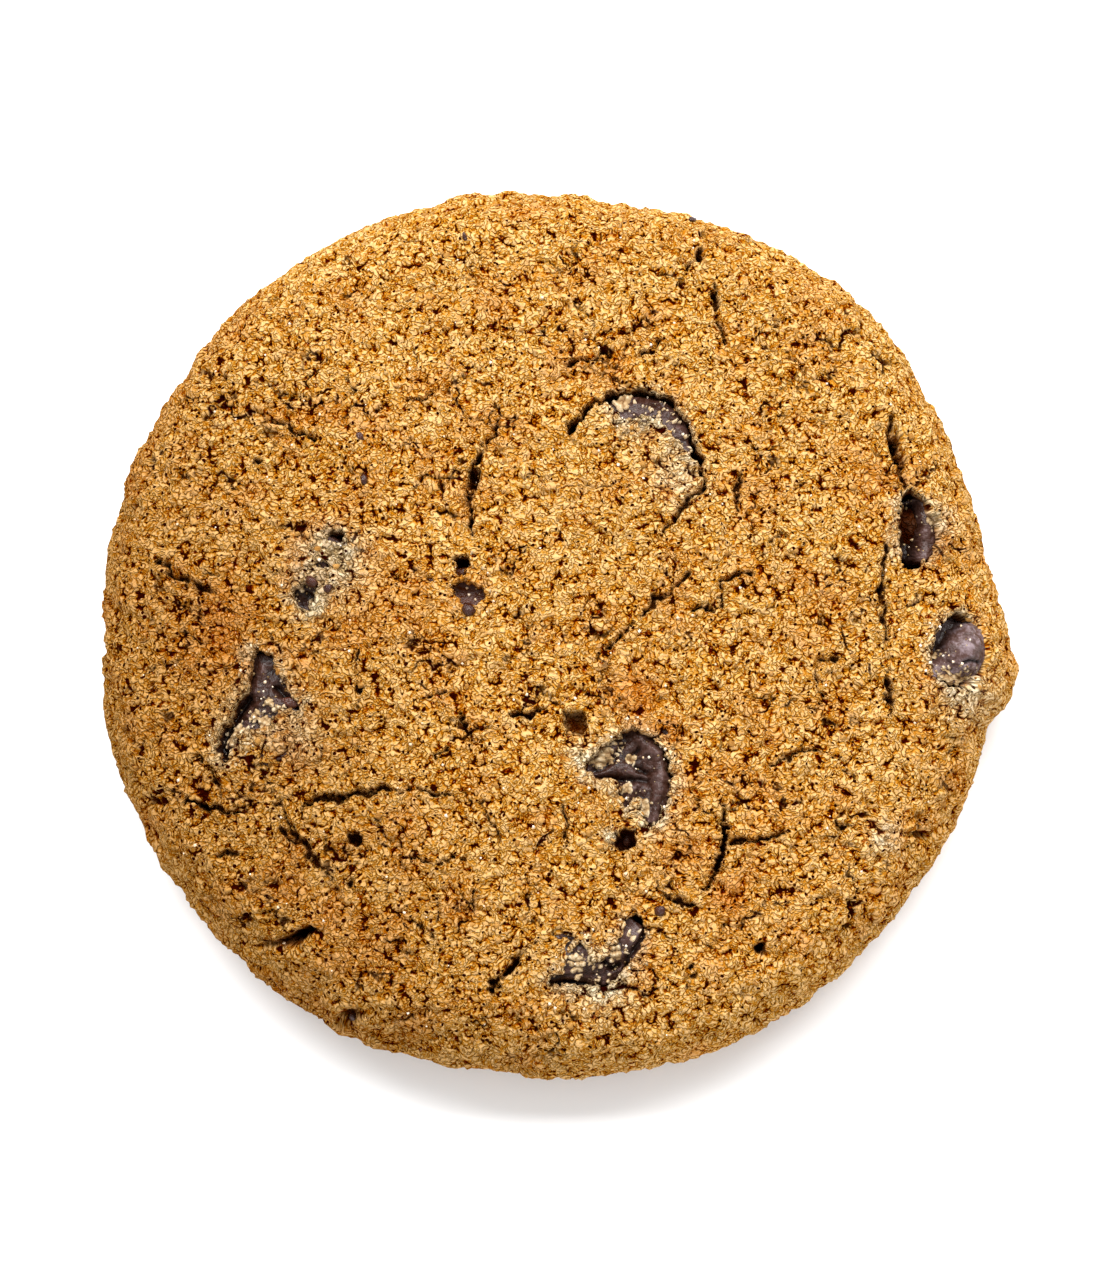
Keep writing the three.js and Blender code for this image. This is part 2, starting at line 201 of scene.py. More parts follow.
def surface_of(*things):
    """The surfaces of some objects together, in millimetres, ready for rays."""
    points, faces = [], []
    for thing in things:
        first = len(points)
        points.extend(v.co / MM for v in thing.data.vertices)
        faces.extend([first + i for i in p.vertices] for p in thing.data.polygons)
    return BVHTree.FromPolygons(points, faces)


def box_mm(node):
    low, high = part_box(node)
    return np.array(low) / MM, np.array(high) / MM


class MapFrame:
    """The square grid that lies over the cookie."""

    low = np.array(cad_box[0])[:2] / MM - MAP_MARGIN
    high = np.array(cad_box[1])[:2] / MM + MAP_MARGIN
    x = np.arange(low[0], high[0], MAP_STEP)
    y = np.arange(low[1], high[1], MAP_STEP)

    @classmethod
    def read(cls, grid, places):
        """The grid's values at places, or at one place, in millimetres."""
        steps = (places[..., :2] - cls.low) / MAP_STEP
        return read_between(grid, *np.clip(steps, 0, np.subtract(grid.shape, 1.001)).T)


NOTHING = -1.0  # a height map's value where there is no solid


def heights_from_above(node):
    """A node's height over the grid, and NOTHING beside it."""
    surface = surface_of(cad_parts[node])
    low, high = box_mm(node)
    found = np.full((len(MapFrame.x), len(MapFrame.y)), NOTHING)
    above, down = high[2] + 1, Vector((0, 0, -1))
    for i in np.flatnonzero((MapFrame.x > low[0]) & (MapFrame.x < high[0])):
        for j in np.flatnonzero((MapFrame.y > low[1]) & (MapFrame.y < high[1])):
            hit = surface.ray_cast(Vector((MapFrame.x[i], MapFrame.y[j], above)), down)[0]
            if hit is not None:
                found[i, j] = hit.z
    return found


CHIPS = sorted(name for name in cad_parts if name.startswith("chip"))


def distance_to(marked):
    """How far each point of the grid lies from the nearest marked one, up to FARTHEST."""
    squared = np.where(marked, 0.0, FARTHEST**2)
    reach = math.ceil(FARTHEST / MAP_STEP)
    for axis in (0, 1):
        for k, moved in enumerate(slid(squared, reach, axis), -reach):
            squared = np.minimum(squared, moved + (k * MAP_STEP) ** 2)
    return np.sqrt(squared)


def depth_inside(marked):
    """How far inside the marked places each point lies, and less than 0 outside them."""
    signed = distance_to(~marked) - distance_to(marked)
    return blurred(signed, 0.12 / MAP_STEP)


def joined_to(start, allowed):
    """The allowed places that are joined to the start."""
    found = start & allowed
    while True:
        grown = spread_extreme(found, 1, np.maximum) & allowed
        if (grown == found).all():
            return found
        found = grown


class Crust:
    """The crust's form as maps: its lid without cracks and openings, how far inside an opening or
    a crack each point is, and how deep these are."""

    def __init__(self):
        seen = heights_from_above("dough")
        inside = seen > NOTHING
        x, y = np.meshgrid(MapFrame.x, MapFrame.y, indexing="ij")
        self.middle = np.array([x[inside].mean(), y[inside].mean()])
        lid = closed_over(seen, round(WIDEST_OPENING / 2 / MAP_STEP))
        level = np.hypot(x - self.middle[0], y - self.middle[1]) < LEVEL_RADIUS
        cut = inside & level & (lid - seen > CUT_DEPTH)
        beside = spread_extreme(cut, 1, np.maximum)
        cut |= beside & inside & level & (lid - seen > CUT_DEPTH / 3)
        self.lid = filled_in(seen, inside & ~cut, 1.0 / MAP_STEP)
        chip = np.max([heights_from_above(name) for name in CHIPS], axis=0)
        bare = cut & (chip > seen)
        opening = joined_to(bare, cut)
        crack = cut & ~opening
        floor = np.maximum(seen, np.where(chip > NOTHING, chip - UNDER_CHIP, NOTHING))
        depth = np.maximum(self.lid - floor, 0)
        self.opening = depth_inside(opening)
        self.crack = depth_inside(crack)
        self.bare = depth_inside(bare)
        self.opening_depth = filled_in(depth, opening, 0.5 / MAP_STEP)
        self.crack_depth = filled_in(depth, crack, 0.5 / MAP_STEP)


crust = Crust()


class Side:
    """The cookie's outer form as distances from a ring inside it, by angle round the cookie and by
    rise: 90 degrees is straight up and -90 straight down."""

    def __init__(self):
        half_width = (np.array(cad_box[1] - cad_box[0])[:2] / MM / 2).min()
        self.core = half_width - CORE_INSET
        self.rises = np.radians(np.linspace(-90, 90, SIDE_RISES))
        surface = surface_of(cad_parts["dough"])
        reach = 3 * CORE_INSET
        table = np.zeros((SIDE_ANGLES, SIDE_RISES))
        for i, turn in enumerate(np.linspace(0, 2 * np.pi, SIDE_ANGLES, endpoint=False)):
            across = Vector((math.cos(turn), math.sin(turn), 0))
            start = Vector((*crust.middle, CORE_HEIGHT)) + across * self.core
            for j, rise in enumerate(self.rises):
                way = across * math.cos(rise) + Vector((0, 0, math.sin(rise)))
                hit, _, _, gone = surface.ray_cast(start + way * reach, -way)
                table[i, j] = reach - gone if hit is not None else np.nan
        table = np.nan_to_num(table, nan=np.nanmean(table))
        lid = closed_over(table, (18, 3), wrap=True)
        whole = lid - table < CUT_DEPTH
        self.table = filled_in(table, whole, (2.4, 0.7), wrap=True)
        self.cut = np.where(whole, 0, self.table - table)

    def read(self, table, turn, rise):
        """A table's values at angles round the cookie and at rises."""
        u = (turn / (2 * np.pi) * SIDE_ANGLES) % SIDE_ANGLES
        v = (rise - self.rises[0]) / (self.rises[1] - self.rises[0])
        return read_between(table, u, np.clip(v, 0, SIDE_RISES - 1.001))


side = Side()


# ---- Node trees ----


def colour(red, green, blue):
    """A colour given as it looks on a screen, 0 to 255, for a node."""
    def linear(value):
        value /= 255
        return value / 12.92 if value <= 0.04045 else ((value + 0.055) / 1.055) ** 2.4
    return (linear(red), linear(green), linear(blue), 1.0)


class Graph:
    """Short names for the nodes that shader trees and geometry trees share."""

    def __init__(self, tree):
        self.tree = tree

    def put(self, kind, inputs=(), output=0, **settings):
        """Adds a node. inputs maps a socket's name or number to a value or to another node's output."""
        node = self.tree.nodes.new(kind)
        for name, value in settings.items():
            setattr(node, name, value)
        for key, value in dict(inputs).items():
            if isinstance(value, bpy.types.NodeSocket):
                self.tree.links.new(value, node.inputs[key])
            else:
                node.inputs[key].default_value = value
        return node.outputs[output]

    def kept(self, name, output="Fac"):
        """What is stored under a name for each point of the mesh."""
        return self.put("ShaderNodeAttribute", output=output, attribute_name=name)

    def math(self, operation, a, b=0.0):
        return self.put("ShaderNodeMath", {0: a, 1: b}, operation=operation)

    def add(self, *values):
        total = values[0]
        for value in values[1:]:
            total = self.math("ADD", total, value)
        return total

    def times(self, a, b):
        return self.math("MULTIPLY", a, b)

    def weighed(self, *parts, more=0.0):
        """The sum of some values, each times its weight, and of one more number."""
        total = self.add(*(self.times(value, weight) for value, weight in parts))
        return self.add(total, more) if more else total

    def off(self, value, middle):
        """How far the value is from the middle, on either side."""
        return self.math("ABSOLUTE", self.math("SUBTRACT", value, middle))

    def shifted(self, place, amount, by):
        """The place moved by a colour or vector times an amount."""
        inputs = {0: by, 1: (amount,) * 3, 2: place}
        return self.put("ShaderNodeVectorMath", inputs, operation="MULTIPLY_ADD")

    def noise(self, place, size, detail=2.0, roughness=0.5, output=0):
        """Blender's noise, one wave of it about size millimetres long."""
        inputs = {"Vector": place, "Scale": 1 / size, "Detail": detail, "Roughness": roughness}
        return self.put("ShaderNodeTexNoise", inputs, output)

    def cells(self, place, size):
        """How far the middle of the nearest cell is, each about size millimetres across."""
        return self.put("ShaderNodeTexVoronoi", {"Vector": place, "Scale": 1 / size}, "Distance")

    def first(self, vector):
        """The first number of a vector or colour."""
        inputs = {0: vector, 1: (1, 0, 0)}
        return self.put("ShaderNodeVectorMath", inputs, "Value", operation="DOT_PRODUCT")

    def step(self, value, low, high, bottom=0.0, top=1.0, kind="SMOOTHSTEP"):
        """Goes smoothly, or evenly if the kind is LINEAR, from bottom to top as the value goes from
        low to high."""
        inputs = {"Value": value, "From Min": low, "From Max": high, "To Min": bottom, "To Max": top}
        return self.put("ShaderNodeMapRange", inputs, interpolation_type=kind)

    def blend(self, share, a, b, kind="MIX"):
        """One colour going over into another, or multiplied by it."""
        inputs = {0: share, 6: a, 7: b}
        return self.put("ShaderNodeMix", inputs, 2, data_type="RGBA", blend_type=kind)

    def ramp(self, value, stops):
        """A colour for a value from 0 to 1. Each stop has its place and its red, green and blue."""
        node = self.tree.nodes.new("ShaderNodeValToRGB")
        self.tree.links.new(value, node.inputs[0])
        elements = node.color_ramp.elements
        for place, *shade in stops[1:-1]:
            elements.new(place).color = colour(*shade)
        for end in (0, len(stops) - 1):
            elements[end].position = stops[end][0]
            elements[end].color = colour(*stops[end][1:])
        return node.outputs[0]

    def bumps(self, height, strength=1.0, distance=MM):
        """A surface's normal with bumps, the height 1 standing for a distance in metres."""
        return self.put("ShaderNodeBump", {"Strength": strength, "Distance": distance, "Height": height})


def array_from(items, what, *shape):
    """A number, or an array of a shape, from every item of one of Blender's lists."""
    values = np.zeros((len(items), *shape), np.float32)
    items.foreach_get(what, values.ravel())
    return values.astype(float)


def read_pattern(thing, pattern):
    """Runs a node pattern over a mesh object's points. pattern takes a Graph and the place in
    millimetres and returns named sockets; this returns their values as arrays."""
    tree = bpy.data.node_groups.new("pattern", "GeometryNodeTree")
    tree.interface.new_socket("Geometry", in_out="INPUT", socket_type="NodeSocketGeometry")
    tree.interface.new_socket("Geometry", in_out="OUTPUT", socket_type="NodeSocketGeometry")
    graph = Graph(tree)
    position = graph.put("GeometryNodeInputPosition")
    place = graph.put("ShaderNodeVectorMath", {0: position, 1: (1 / MM,) * 3}, operation="MULTIPLY")
    geometry = graph.put("NodeGroupInput")
    vectors = {}
    for name, socket in pattern(graph, place).items():
        vectors[name] = socket.type in ("VECTOR", "RGBA")
        kind = "FLOAT_VECTOR" if vectors[name] else "FLOAT"
        inputs = {"Geometry": geometry, "Name": name, "Value": socket}
        geometry = graph.put("GeometryNodeStoreNamedAttribute", inputs, data_type=kind, domain="POINT")
    tree.links.new(geometry, tree.nodes.new("NodeGroupOutput").inputs[0])
    modifier = thing.modifiers.new("pattern", "NODES")
    modifier.node_group = tree
    shape = thing.evaluated_get(bpy.context.evaluated_depsgraph_get()).data
    values = {}
    for name, vector in vectors.items():
        data = shape.attributes[name].data
        values[name] = array_from(data, "vector", 3) if vector else array_from(data, "value")
    thing.modifiers.remove(modifier)
    bpy.data.node_groups.remove(tree)
    return values


# ---- The crust's pattern, used for the mesh and again, finer, for its shading ----


def drifted(graph, place):
    """The place pushed about, so that cells and waves get uneven shapes."""
    wide = graph.noise(place, 2.6, 1.0, output="Color")
    narrow = graph.noise(place, 0.6, 1.0, output="Color")
    return graph.shifted(graph.shifted(place, 0.8, wide), 0.35, narrow)


def granules(graph, place):
    """How far the nearest granule's middle is, in granules, and a number from 0 to 1 for each."""
    inputs = {"Vector": place, "Scale": 1 / GRANULE, "Randomness": 0.85}
    cells = graph.put("ShaderNodeTexVoronoi", inputs).node
    return cells.outputs["Distance"], graph.first(cells.outputs["Color"])


def crust_pattern(graph, place):
    place = drifted(graph, place)
    reach, tone = granules(graph, place)
    return {
        "place": place,
        "reach": reach,
        "tone": tone,
        "clump": graph.cells(place, CLUMP),
        "plate": graph.noise(place, PLATE, 3.0, 0.55),
        "split": graph.step(graph.noise(place, 6.0, 2.0), 0.5, 0.62),
        "swell": graph.noise(place, SWELL, 2.0),
        "blotch": graph.noise(place, 1.8, 3.0, 0.6),
        "patch": graph.noise(place, 5.5, 4.0, 0.6),
        "ragged": graph.noise(place, 0.9, 3.0, 0.6),
        "jag": graph.noise(place, 1.5, 3.0, 0.6, output="Color"),
    }


# ---- Meshes ----


def mesh_from(name, points, faces):
    """A mesh from points in millimetres and triangles or quads, as arrays."""
    faces = np.asarray(faces)
    mesh = bpy.data.meshes.new(name)
    mesh.vertices.add(len(points))
    mesh.vertices.foreach_set("co", (np.asarray(points) * MM).astype(np.float32).ravel())
    mesh.loops.add(faces.size)
    mesh.loops.foreach_set("vertex_index", faces.astype(np.int32).ravel())
    mesh.polygons.add(len(faces))
    mesh.polygons.foreach_set("loop_start", np.arange(0, faces.size, faces.shape[1], dtype=np.int32))
    mesh.update(calc_edges=True)
    mesh.shade_smooth()
    return mesh


def new_object(name, data):
    thing = bpy.data.objects.new(name, data)
    bpy.context.scene.collection.objects.link(thing)
    return thing


def set_points(mesh, points):
    mesh.vertices.foreach_set("co", (points * MM).astype(np.float32).ravel())
    mesh.update()


def store(mesh, **kept):
    """Keeps numbers or vectors for each point, under their names, for the material to read."""
    for name, values in kept.items():
        vector = np.ndim(values) == 2
        layer = mesh.attributes.new(name, "FLOAT_VECTOR" if vector else "FLOAT", "POINT")
        layer.data.foreach_set("vector" if vector else "value", np.asarray(values, np.float32).ravel())


def show_as(thing, slot, material, replaces=None):
    """Gives a piece its material and the body it rides on, and hides the CAD node that it stands in for.
    Its slot is not used.
    """
    thing.data.materials.append(material)
    if replaces:
        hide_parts(replaces)
    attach(thing, BODY)


# ---- The dough ----


def zipped(first_a, count_a, first_b, count_b):
    """Triangles between two rings of points, whatever their counts. Ring a is outside ring b."""
    i = np.arange(count_a)
    j = np.arange(count_b)
    tip_b = -((count_a - (2 * i + 1) * count_b) // (2 * count_a))
    tip_a = ((2 * j + 1) * count_a - count_b) // (2 * count_b) + 1
    outer = np.stack([first_a + i, first_a + (i + 1) % count_a, first_b + tip_b % count_b], 1)
    inner = np.stack([first_b + (j + 1) % count_b, first_b + j, first_a + tip_a % count_a], 1)
    return np.concatenate([outer, inner])


def fan(first, count, tip):
    """Triangles between a ring of points and one point inside it."""
    i = np.arange(count)
    return np.stack([first + i, first + (i + 1) % count, np.full(count, tip)], 1)


def ring_plan():
    """Every ring of the dough's mesh from the middle of the crust to the middle of the base:
    its zone, its place in that zone, its radius, its pitch and how far along the section it is."""
    rings = []
    radius = TOP_PITCH
    while radius < side.core:
        along = radius
        rings.append(("top", radius, radius, TOP_PITCH, along))
        radius += TOP_PITCH * ROW
    mean = side.table.mean(0)
    rise = math.pi / 2
    while rise > -math.pi / 2:
        distance = np.interp(rise, side.rises, mean)
        down = (math.pi / 2 - rise) / math.pi
        pitch = TOP_PITCH + (SIDE_PITCH - TOP_PITCH) * smooth_step(down, 0.12, 0.4)
        pitch += (EDGE_PITCH - SIDE_PITCH) * smooth_step(down, 0.75, 1.0)
        ring = side.core + distance * math.cos(rise)
        rings.append(("side", rise, ring, pitch, along))
        along += pitch * ROW
        rise -= pitch * ROW / distance
    radius = side.core
    pitch = EDGE_PITCH
    while radius > BASE_PITCH:
        rings.append(("base", radius, radius, pitch, along))
        along += pitch * ROW
        radius -= pitch * ROW
        pitch = min(pitch * 1.08, BASE_PITCH)
    return rings


def ring_points(zone, place, turns):
    """One ring's points on the smooth outer form."""
    across = np.stack([np.cos(turns), np.sin(turns)], 1)
    if zone != "side":
        flat = crust.middle + across * place
        height = MapFrame.read(crust.lid, flat) if zone == "top" else np.zeros(len(turns))
        return np.column_stack([flat, height])
    distance = side.read(side.table, turns, np.full(len(turns), place))
    flat = crust.middle + across * (side.core + distance * math.cos(place))[:, None]
    height = np.maximum(CORE_HEIGHT + distance * math.sin(place), 0)
    share = smooth_step(math.degrees(place), *BLEND_RISES)
    return np.column_stack([flat, height * (1 - share) + MapFrame.read(crust.lid, flat) * share])


def dough_form():
    """The dough's smooth outer form: points, triangles, and for each point how far along the
    section it is, its angle round the cookie and its rise."""
    plan = ring_plan()
    up = math.pi / 2
    top = [[*crust.middle, MapFrame.read(crust.lid, crust.middle)]]
    rings = [(np.array(top), 0.0, np.zeros(1), up)]
    for zone, place, radius, pitch, along in plan:
        count = max(6, round(2 * math.pi * radius / pitch))
        turns = np.arange(count) * (2 * math.pi / count)
        rise = {"top": up, "side": place, "base": -up}[zone]
        rings.append((ring_points(zone, place, turns), along, turns, rise))
    bottom = [[*crust.middle, 0.0]]
    rings.append((np.array(bottom), plan[-1][4] + BASE_PITCH, np.zeros(1), -up))

    points, along, turned, risen = zip(*rings)
    counts = [len(ring) for ring in points]
    firsts = np.cumsum([0, *counts])
    faces = [fan(firsts[1], counts[1], 0)]
    for k in range(2, len(rings) - 1):
        faces.append(zipped(firsts[k], counts[k], firsts[k - 1], counts[k - 1]))
    faces.append(fan(firsts[-3], counts[-2], firsts[-2])[:, [1, 0, 2]])
    points, faces, turned = map(np.concatenate, (points, faces, turned))
    return points, faces, np.repeat(along, counts), turned, np.repeat(risen, counts)


# The discs of the dough's flat map: their middles and radii.
CRUST_DISC = (0.38, 0.62, 0.37)
BASE_DISC = (0.86, 0.14, 0.13)
SEAM_HEIGHT = 0.5  # the two part this far above the floor


def lay_out_map(mesh, faces, along, turned):
    """The mesh's flat map: the crust and side as one disc, and the base as a smaller one."""
    heights = array_from(mesh.vertices, "co", 3)[:, 2]
    seam = along[np.argmin(np.abs(heights - SEAM_HEIGHT * MM) + (along < side.core))]
    end = along.max()
    under = along[faces].max(1)[:, None] > seam
    reach = np.where(under, (end - along[faces]) / (end - seam), along[faces] / seam)
    reach = np.clip(reach, 0, 1.02) * np.where(under, BASE_DISC[2], CRUST_DISC[2])
    middle = np.where(under, BASE_DISC[:2], CRUST_DISC[:2])
    ways = np.stack([np.cos(turned[faces]), np.sin(turned[faces])], -1)
    layer = mesh.uv_layers.new(name="OFBake")
    layer.uv.foreach_set("vector", (middle[:, None] + reach[..., None] * ways).astype(np.float32).ravel())


# Spots of the crust: each one's x and y, its spread and its strength.
PALE_SPOTS = [
    (-20, 5.2, 2.7, 1.1), (-21.3, 1.4, 1.3, 0.8), (6, -20.4, 0.7, 0.8), (-23, -11, 2.4, 0.45),
    (38.6, -7, 2.4, 0.6), (36.6, 9, 1.6, 0.4), (10, -18.6, 1.6, 0.5), (3.4, -12.8, 1.3, 0.5),
    (5.5, -34, 2.6, 0.4), (12.3, 12.9, 2.2, 0.5), (9, 18, 2.2, 0.35), (31.1, -20.3, 1.3, 0.7),
    (-27.7, -3.2, 0.7, 0.8),
]
UNHALOED_SPOTS = [(-6.9, 2.8, 3, 3)]  # the small chip has no pale crust round it
BROWN_SPOTS = [
    (8.4, -6.9, 2.3, 0.7), (11.6, -10.6, 1.5, 0.6), (12, -22, 3, 0.35), (-31, -2, 5, 0.4),
    (-14, 2, 4, 0.3), (-7, 2.4, 1.8, 0.5), (17, -27, 3, 0.3),
]

# Where an opening or a crack shows wider than its CAD cut, by the strength in millimetres, or
# narrower if it is below 0.
WIDENED = [
    (36.1, 7, 1.6, -1.2), (33.8, 3.8, 0.9, -0.7), (32.5, 5.8, 1.2, -0.5), (41.2, -3.2, 1.3, 0.5),
    (36.4, -0.9, 1.1, -0.5), (4.5, 20.6, 1.6, -0.4), (7.4, 21.8, 1.6, -0.8), (10.5, 21.5, 1.6, -0.9),
    (13.3, 19.7, 1.6, -1.1), (14.9, 16.6, 1.8, -1.3), (15.1, 14, 1.4, -0.7), (7.2, -20.2, 1.3, 0.3),
    (-24, -29.9, 3.5, -0.17), (-2.2, -31.2, 4, -0.17), (15.8, -18, 3, -0.15), (15.3, -23, 2, -0.15),
]

# Hairline cracks, too thin for the CAD model: the points of each, by half their width before they are
# narrowed. Some of them keep a thin crack of the CAD model open.
HAIRLINES = {
    0.3: [[(20.2, 28), (21.6, 27.8), (23.2, 28.1)], [(22, 25.4), (23.8, 23.6), (25.2, 21.8)]],
    0.32: [
        [(-7.8, -9), (-7, -10.3), (-7.1, -11.7)], [(25, -12.4), (26.6, -13.6), (28.2, -15.2)],
        [(25, -4.4), (25.2, -6.8), (25.6, -8.8)],
    ],
    0.34: [
        [(-12.8, 20.3), (-11.2, 20.5), (-10, 21.3)], [(20.4, 6.6), (22.2, 7.4)],
        [(-14.2, -16), (-11.8, -16.2), (-8.2, -16.6)], [(-5.6, -17.4), (-5, -19), (-4.2, -21.2)],
    ],
    0.36: [[(14.4, 34.9), (13.8, 33)], [(-11.8, -28), (-10.5, -29), (-9.5, -30.1)]],
    0.38: [
        [(-12.4, -22.4), (-9.6, -22.8), (-7.2, -22.4)], [(-6.3, -25.4), (-6.1, -27.1)],
        [(-17, -3), (-17.2, -5), (-16.9, -7), (-17.3, -8.6)], [(-9, -12.2), (-9.9, -13.3)],
        [(-10.7, -7.4), (-8.8, -7)], [(-3.2, -9.2), (-1.5, -9.3), (0.2, -8.8)],
        [(31.8, -5), (31.9, -7), (31.7, -9.2)], [(18.1, 13.1), (17.8, 11.3), (17.7, 9.5)],
        [(1.9, -17.8), (2.1, -19.5), (2.2, -21.1)],
    ],
    0.4: [[(20.6, -14.2), (22.7, -13), (25, -12.4)]],
    0.42: [
        [(-36, 5.4), (-34.4, 4.1), (-32.6, 3.2), (-30.4, 2.4)],
        [(-32.2, -12.9), (-30.6, -14), (-30, -15.6)], [(-30.4, -22), (-28.2, -21.4)],
        [(13.6, -26.8), (12.5, -26.2), (11.2, -25.8)],
        [(16.1, 31.6), (15.9, 29.7), (16.2, 27.7), (17, 25.6)],
        [(31.5, 6.3), (31, 2.6), (31.2, 0), (31.5, -2.8)],
        [(5.9, -3), (9.1, 0.2), (12.1, 2.6), (13.5, 4.1)],
        [(13.6, 0.7), (16.2, 0.6), (16, 3.1), (19, 3.8)],
        [(14.6, 11.8), (13.5, 10.9), (12.3, 9), (11, 7.9)], [(1.8, 23.6), (4.4, 24.2), (6.5, 24.9)],
        [(8.7, 24.5), (10.2, 24.9), (11, 25.9)], [(-4.1, 18.4), (-6.4, 14.3), (-6.7, 10.2), (-6.6, 7.4)],
    ],
    0.44: [[(17.3, -20.9), (19.3, -20.7), (22.1, -19.9)], [(32.2, 18.8), (32.4, 15.6), (33.4, 12.2)]],
    0.46: [[(-33.4, -17), (-31, -17.5), (-28.3, -18)], [(-25.1, 18.4), (-23.3, 17.9), (-21.6, 16.8)]],
    0.48: [[(-21.8, -17.6), (-21.2, -16.7), (-19, -16.9), (-16.6, -16.4), (-14.2, -16)]],
    0.5: [[(-24.2, -19.6), (-22.4, -20.9), (-20.3, -23.2)]],
}


def distance_to_line(places, line):
    """How far each place lies from a line of points."""
    here = places[:, :2] - crust.middle
    found = np.full(len(here), np.inf)
    for start, end in zip(line[:-1], line[1:]):
        along = np.subtract(end, start)
        share = np.clip((here - start) @ along / (along @ along), 0, 1)
        found = np.minimum(found, np.linalg.norm(here - start - share[:, None] * along, axis=1))
    return found


def spotted(spots, places):
    """How strongly the spots show at each place."""
    found = np.zeros(len(places))
    for x, y, spread, strength in spots:
        away = np.hypot(*(places[:, :2] - crust.middle - (x, y)).T)
        shown = strength * np.exp(-((away / spread) ** 2))
        found = np.where(np.abs(shown) > np.abs(found), shown, found)
    return found


def relief_of(pattern, edge, under):
    """How far the crust's granules, clumps and plates stand out."""
    plate = smooth_step(pattern["plate"], 0.45, 0.55)
    between = 1 - smooth_step(np.abs(pattern["plate"] - 0.5), 0.008, 0.028)
    seam = between * pattern["split"] * (1 - 0.6 * edge)
    relief = (
        0.55 * (pattern["swell"] - 0.5)
        + 0.2 * (pattern["blotch"] - 0.5)
        + 0.3 * plate
        - 0.42 * seam
        - 0.22 * smooth_step(pattern["clump"], 0.4, 0.75)
        - 0.16 * smooth_step(pattern["reach"], 0.3, 0.8)
        + 0.1 * pattern["tone"]
    )
    return (relief - relief.mean()) * (1 + 0.15 * edge) * (1 - 0.8 * under)


def build_dough():
    points, faces, along, turned, risen = dough_form()
    mesh = mesh_from("cookie_dough", points, faces)
    thing = new_object("cookie_dough", mesh)
    normals = array_from(mesh.vertex_normals, "vector", 3)
    pattern = read_pattern(thing, crust_pattern)

    edge = smooth_step(normals[:, 2], 0.93, 0.55)  # 1 on the side, 0 on the top
    under = smooth_step(normals[:, 2], -0.5, -0.9)
    above = normals[:, 2] > 0.3
    jagged = points[:, :2] + JAG * (pattern["jag"][:, :2] - 0.5)
    widened = spotted(WIDENED, points)
    opening = np.where(above, MapFrame.read(crust.opening, jagged) + widened, -FARTHEST)
    crack = np.where(above, MapFrame.read(crust.crack, jagged) + widened, -FARTHEST)
    bare = np.where(above, MapFrame.read(crust.bare, jagged), -FARTHEST)
    thin = [half - distance_to_line(jagged, line) for half in HAIRLINES for line in HAIRLINES[half]]
    hairline = np.max(thin, axis=0)
    crack_depth = np.where(hairline > crack, HAIRLINE_DEPTH, MapFrame.read(crust.crack_depth, jagged))
    crack = np.where(above, np.maximum(crack, hairline), crack)

    ragged = pattern["ragged"] - 0.5
    ragged_opening = opening + ragged
    ragged_crack = crack + CRACK_RAGGED * ragged - NARROWED
    cut = np.maximum(
        smooth_step(ragged_opening, -0.1, 0.3) * MapFrame.read(crust.opening_depth, jagged),
        smooth_step(ragged_crack, -0.05, 0.25) * crack_depth,
    )
    cut = np.where(above, cut, 0)
    side_cut = side.read(side.cut, turned, risen) * (risen < math.radians(HIGHEST_SIDE_CUT))
    brink = np.maximum(ragged_opening, ragged_crack)
    lip = LIP * np.exp(-(((brink + 0.3) / 0.25) ** 2))
    lump = LUMP_EXTRA * np.exp(-(((np.degrees(turned) - LUMP_ANGLE) / 4) ** 4))
    out = relief_of(pattern, edge, under) + lip + edge * (lump - EDGE_DRAWN_IN) - side_cut
    moved = points + normals * out[:, None]
    moved[:, 2] -= cut
    moved[:, 2] = np.maximum(moved[:, 2], 0.0)
    moved[points[:, 2] < 1e-6, 2] = 0.0

    set_points(mesh, moved)
    pattern["place"][:, 2] -= cut  # so that the grain runs on down the walls
    shaded = ("place", "clump", "plate", "split", "blotch", "patch", "ragged")
    store(mesh, **{name: pattern[name] for name in shaded})
    store(mesh, edge=edge, under=under, depth=cut + side_cut, opening=opening, crack=crack)
    store(
        mesh,
        bare=bare - spotted(UNHALOED_SPOTS, points),
        browned=smooth_step((points[:, :2] - crust.middle) @ toward(SHADED_SIDE_BEARING), *SHADED_SIDE_REACH),
        paled=spotted(PALE_SPOTS, points),
        scorched=spotted(BROWN_SPOTS, points),
    )
    lay_out_map(mesh, faces, along, turned)
    show_as(thing, "crust", new_material("baked_crust", crust_looks), replaces="dough")
    return thing


# ---- Materials ----

# Ramps of colour: each stop's place from 0 to 1, then its red, green and blue on a screen, 0 to 255.
GOLDEN_CRUST = [
    (0.0, 60, 4, 0), (0.2, 114, 38, 0), (0.42, 168, 104, 8), (0.68, 190, 139, 60),
    (1.0, 210, 167, 108),
]
GREYED_CRUST = [
    (0.0, 50, 30, 16), (0.2, 104, 80, 48), (0.42, 154, 130, 90), (0.68, 180, 156, 116),
    (1.0, 212, 195, 164),
]
BLOOMED_CHOCOLATE = [(0.1, 22, 8, 4), (0.4, 50, 28, 20), (0.7, 80, 58, 53), (1.0, 130, 113, 116)]
CRUMBS_ON_CHIP = [(0.0, 50, 28, 12), (0.25, 118, 84, 48), (0.55, 162, 134, 94), (1.0, 206, 188, 158)]
TAN = [(0.0, 96, 54, 14), (0.3, 146, 100, 44), (0.65, 174, 128, 66), (1.0, 198, 154, 100)]
PALE = [(0.0, 80, 56, 30), (0.4, 146, 118, 78), (1.0, 206, 184, 148)]
WHITE = [(0.0, 214, 176, 128), (1.0, 250, 240, 222)]
BROWN = [(0.0, 30, 8, 2), (0.5, 58, 24, 12), (1.0, 84, 48, 36)]


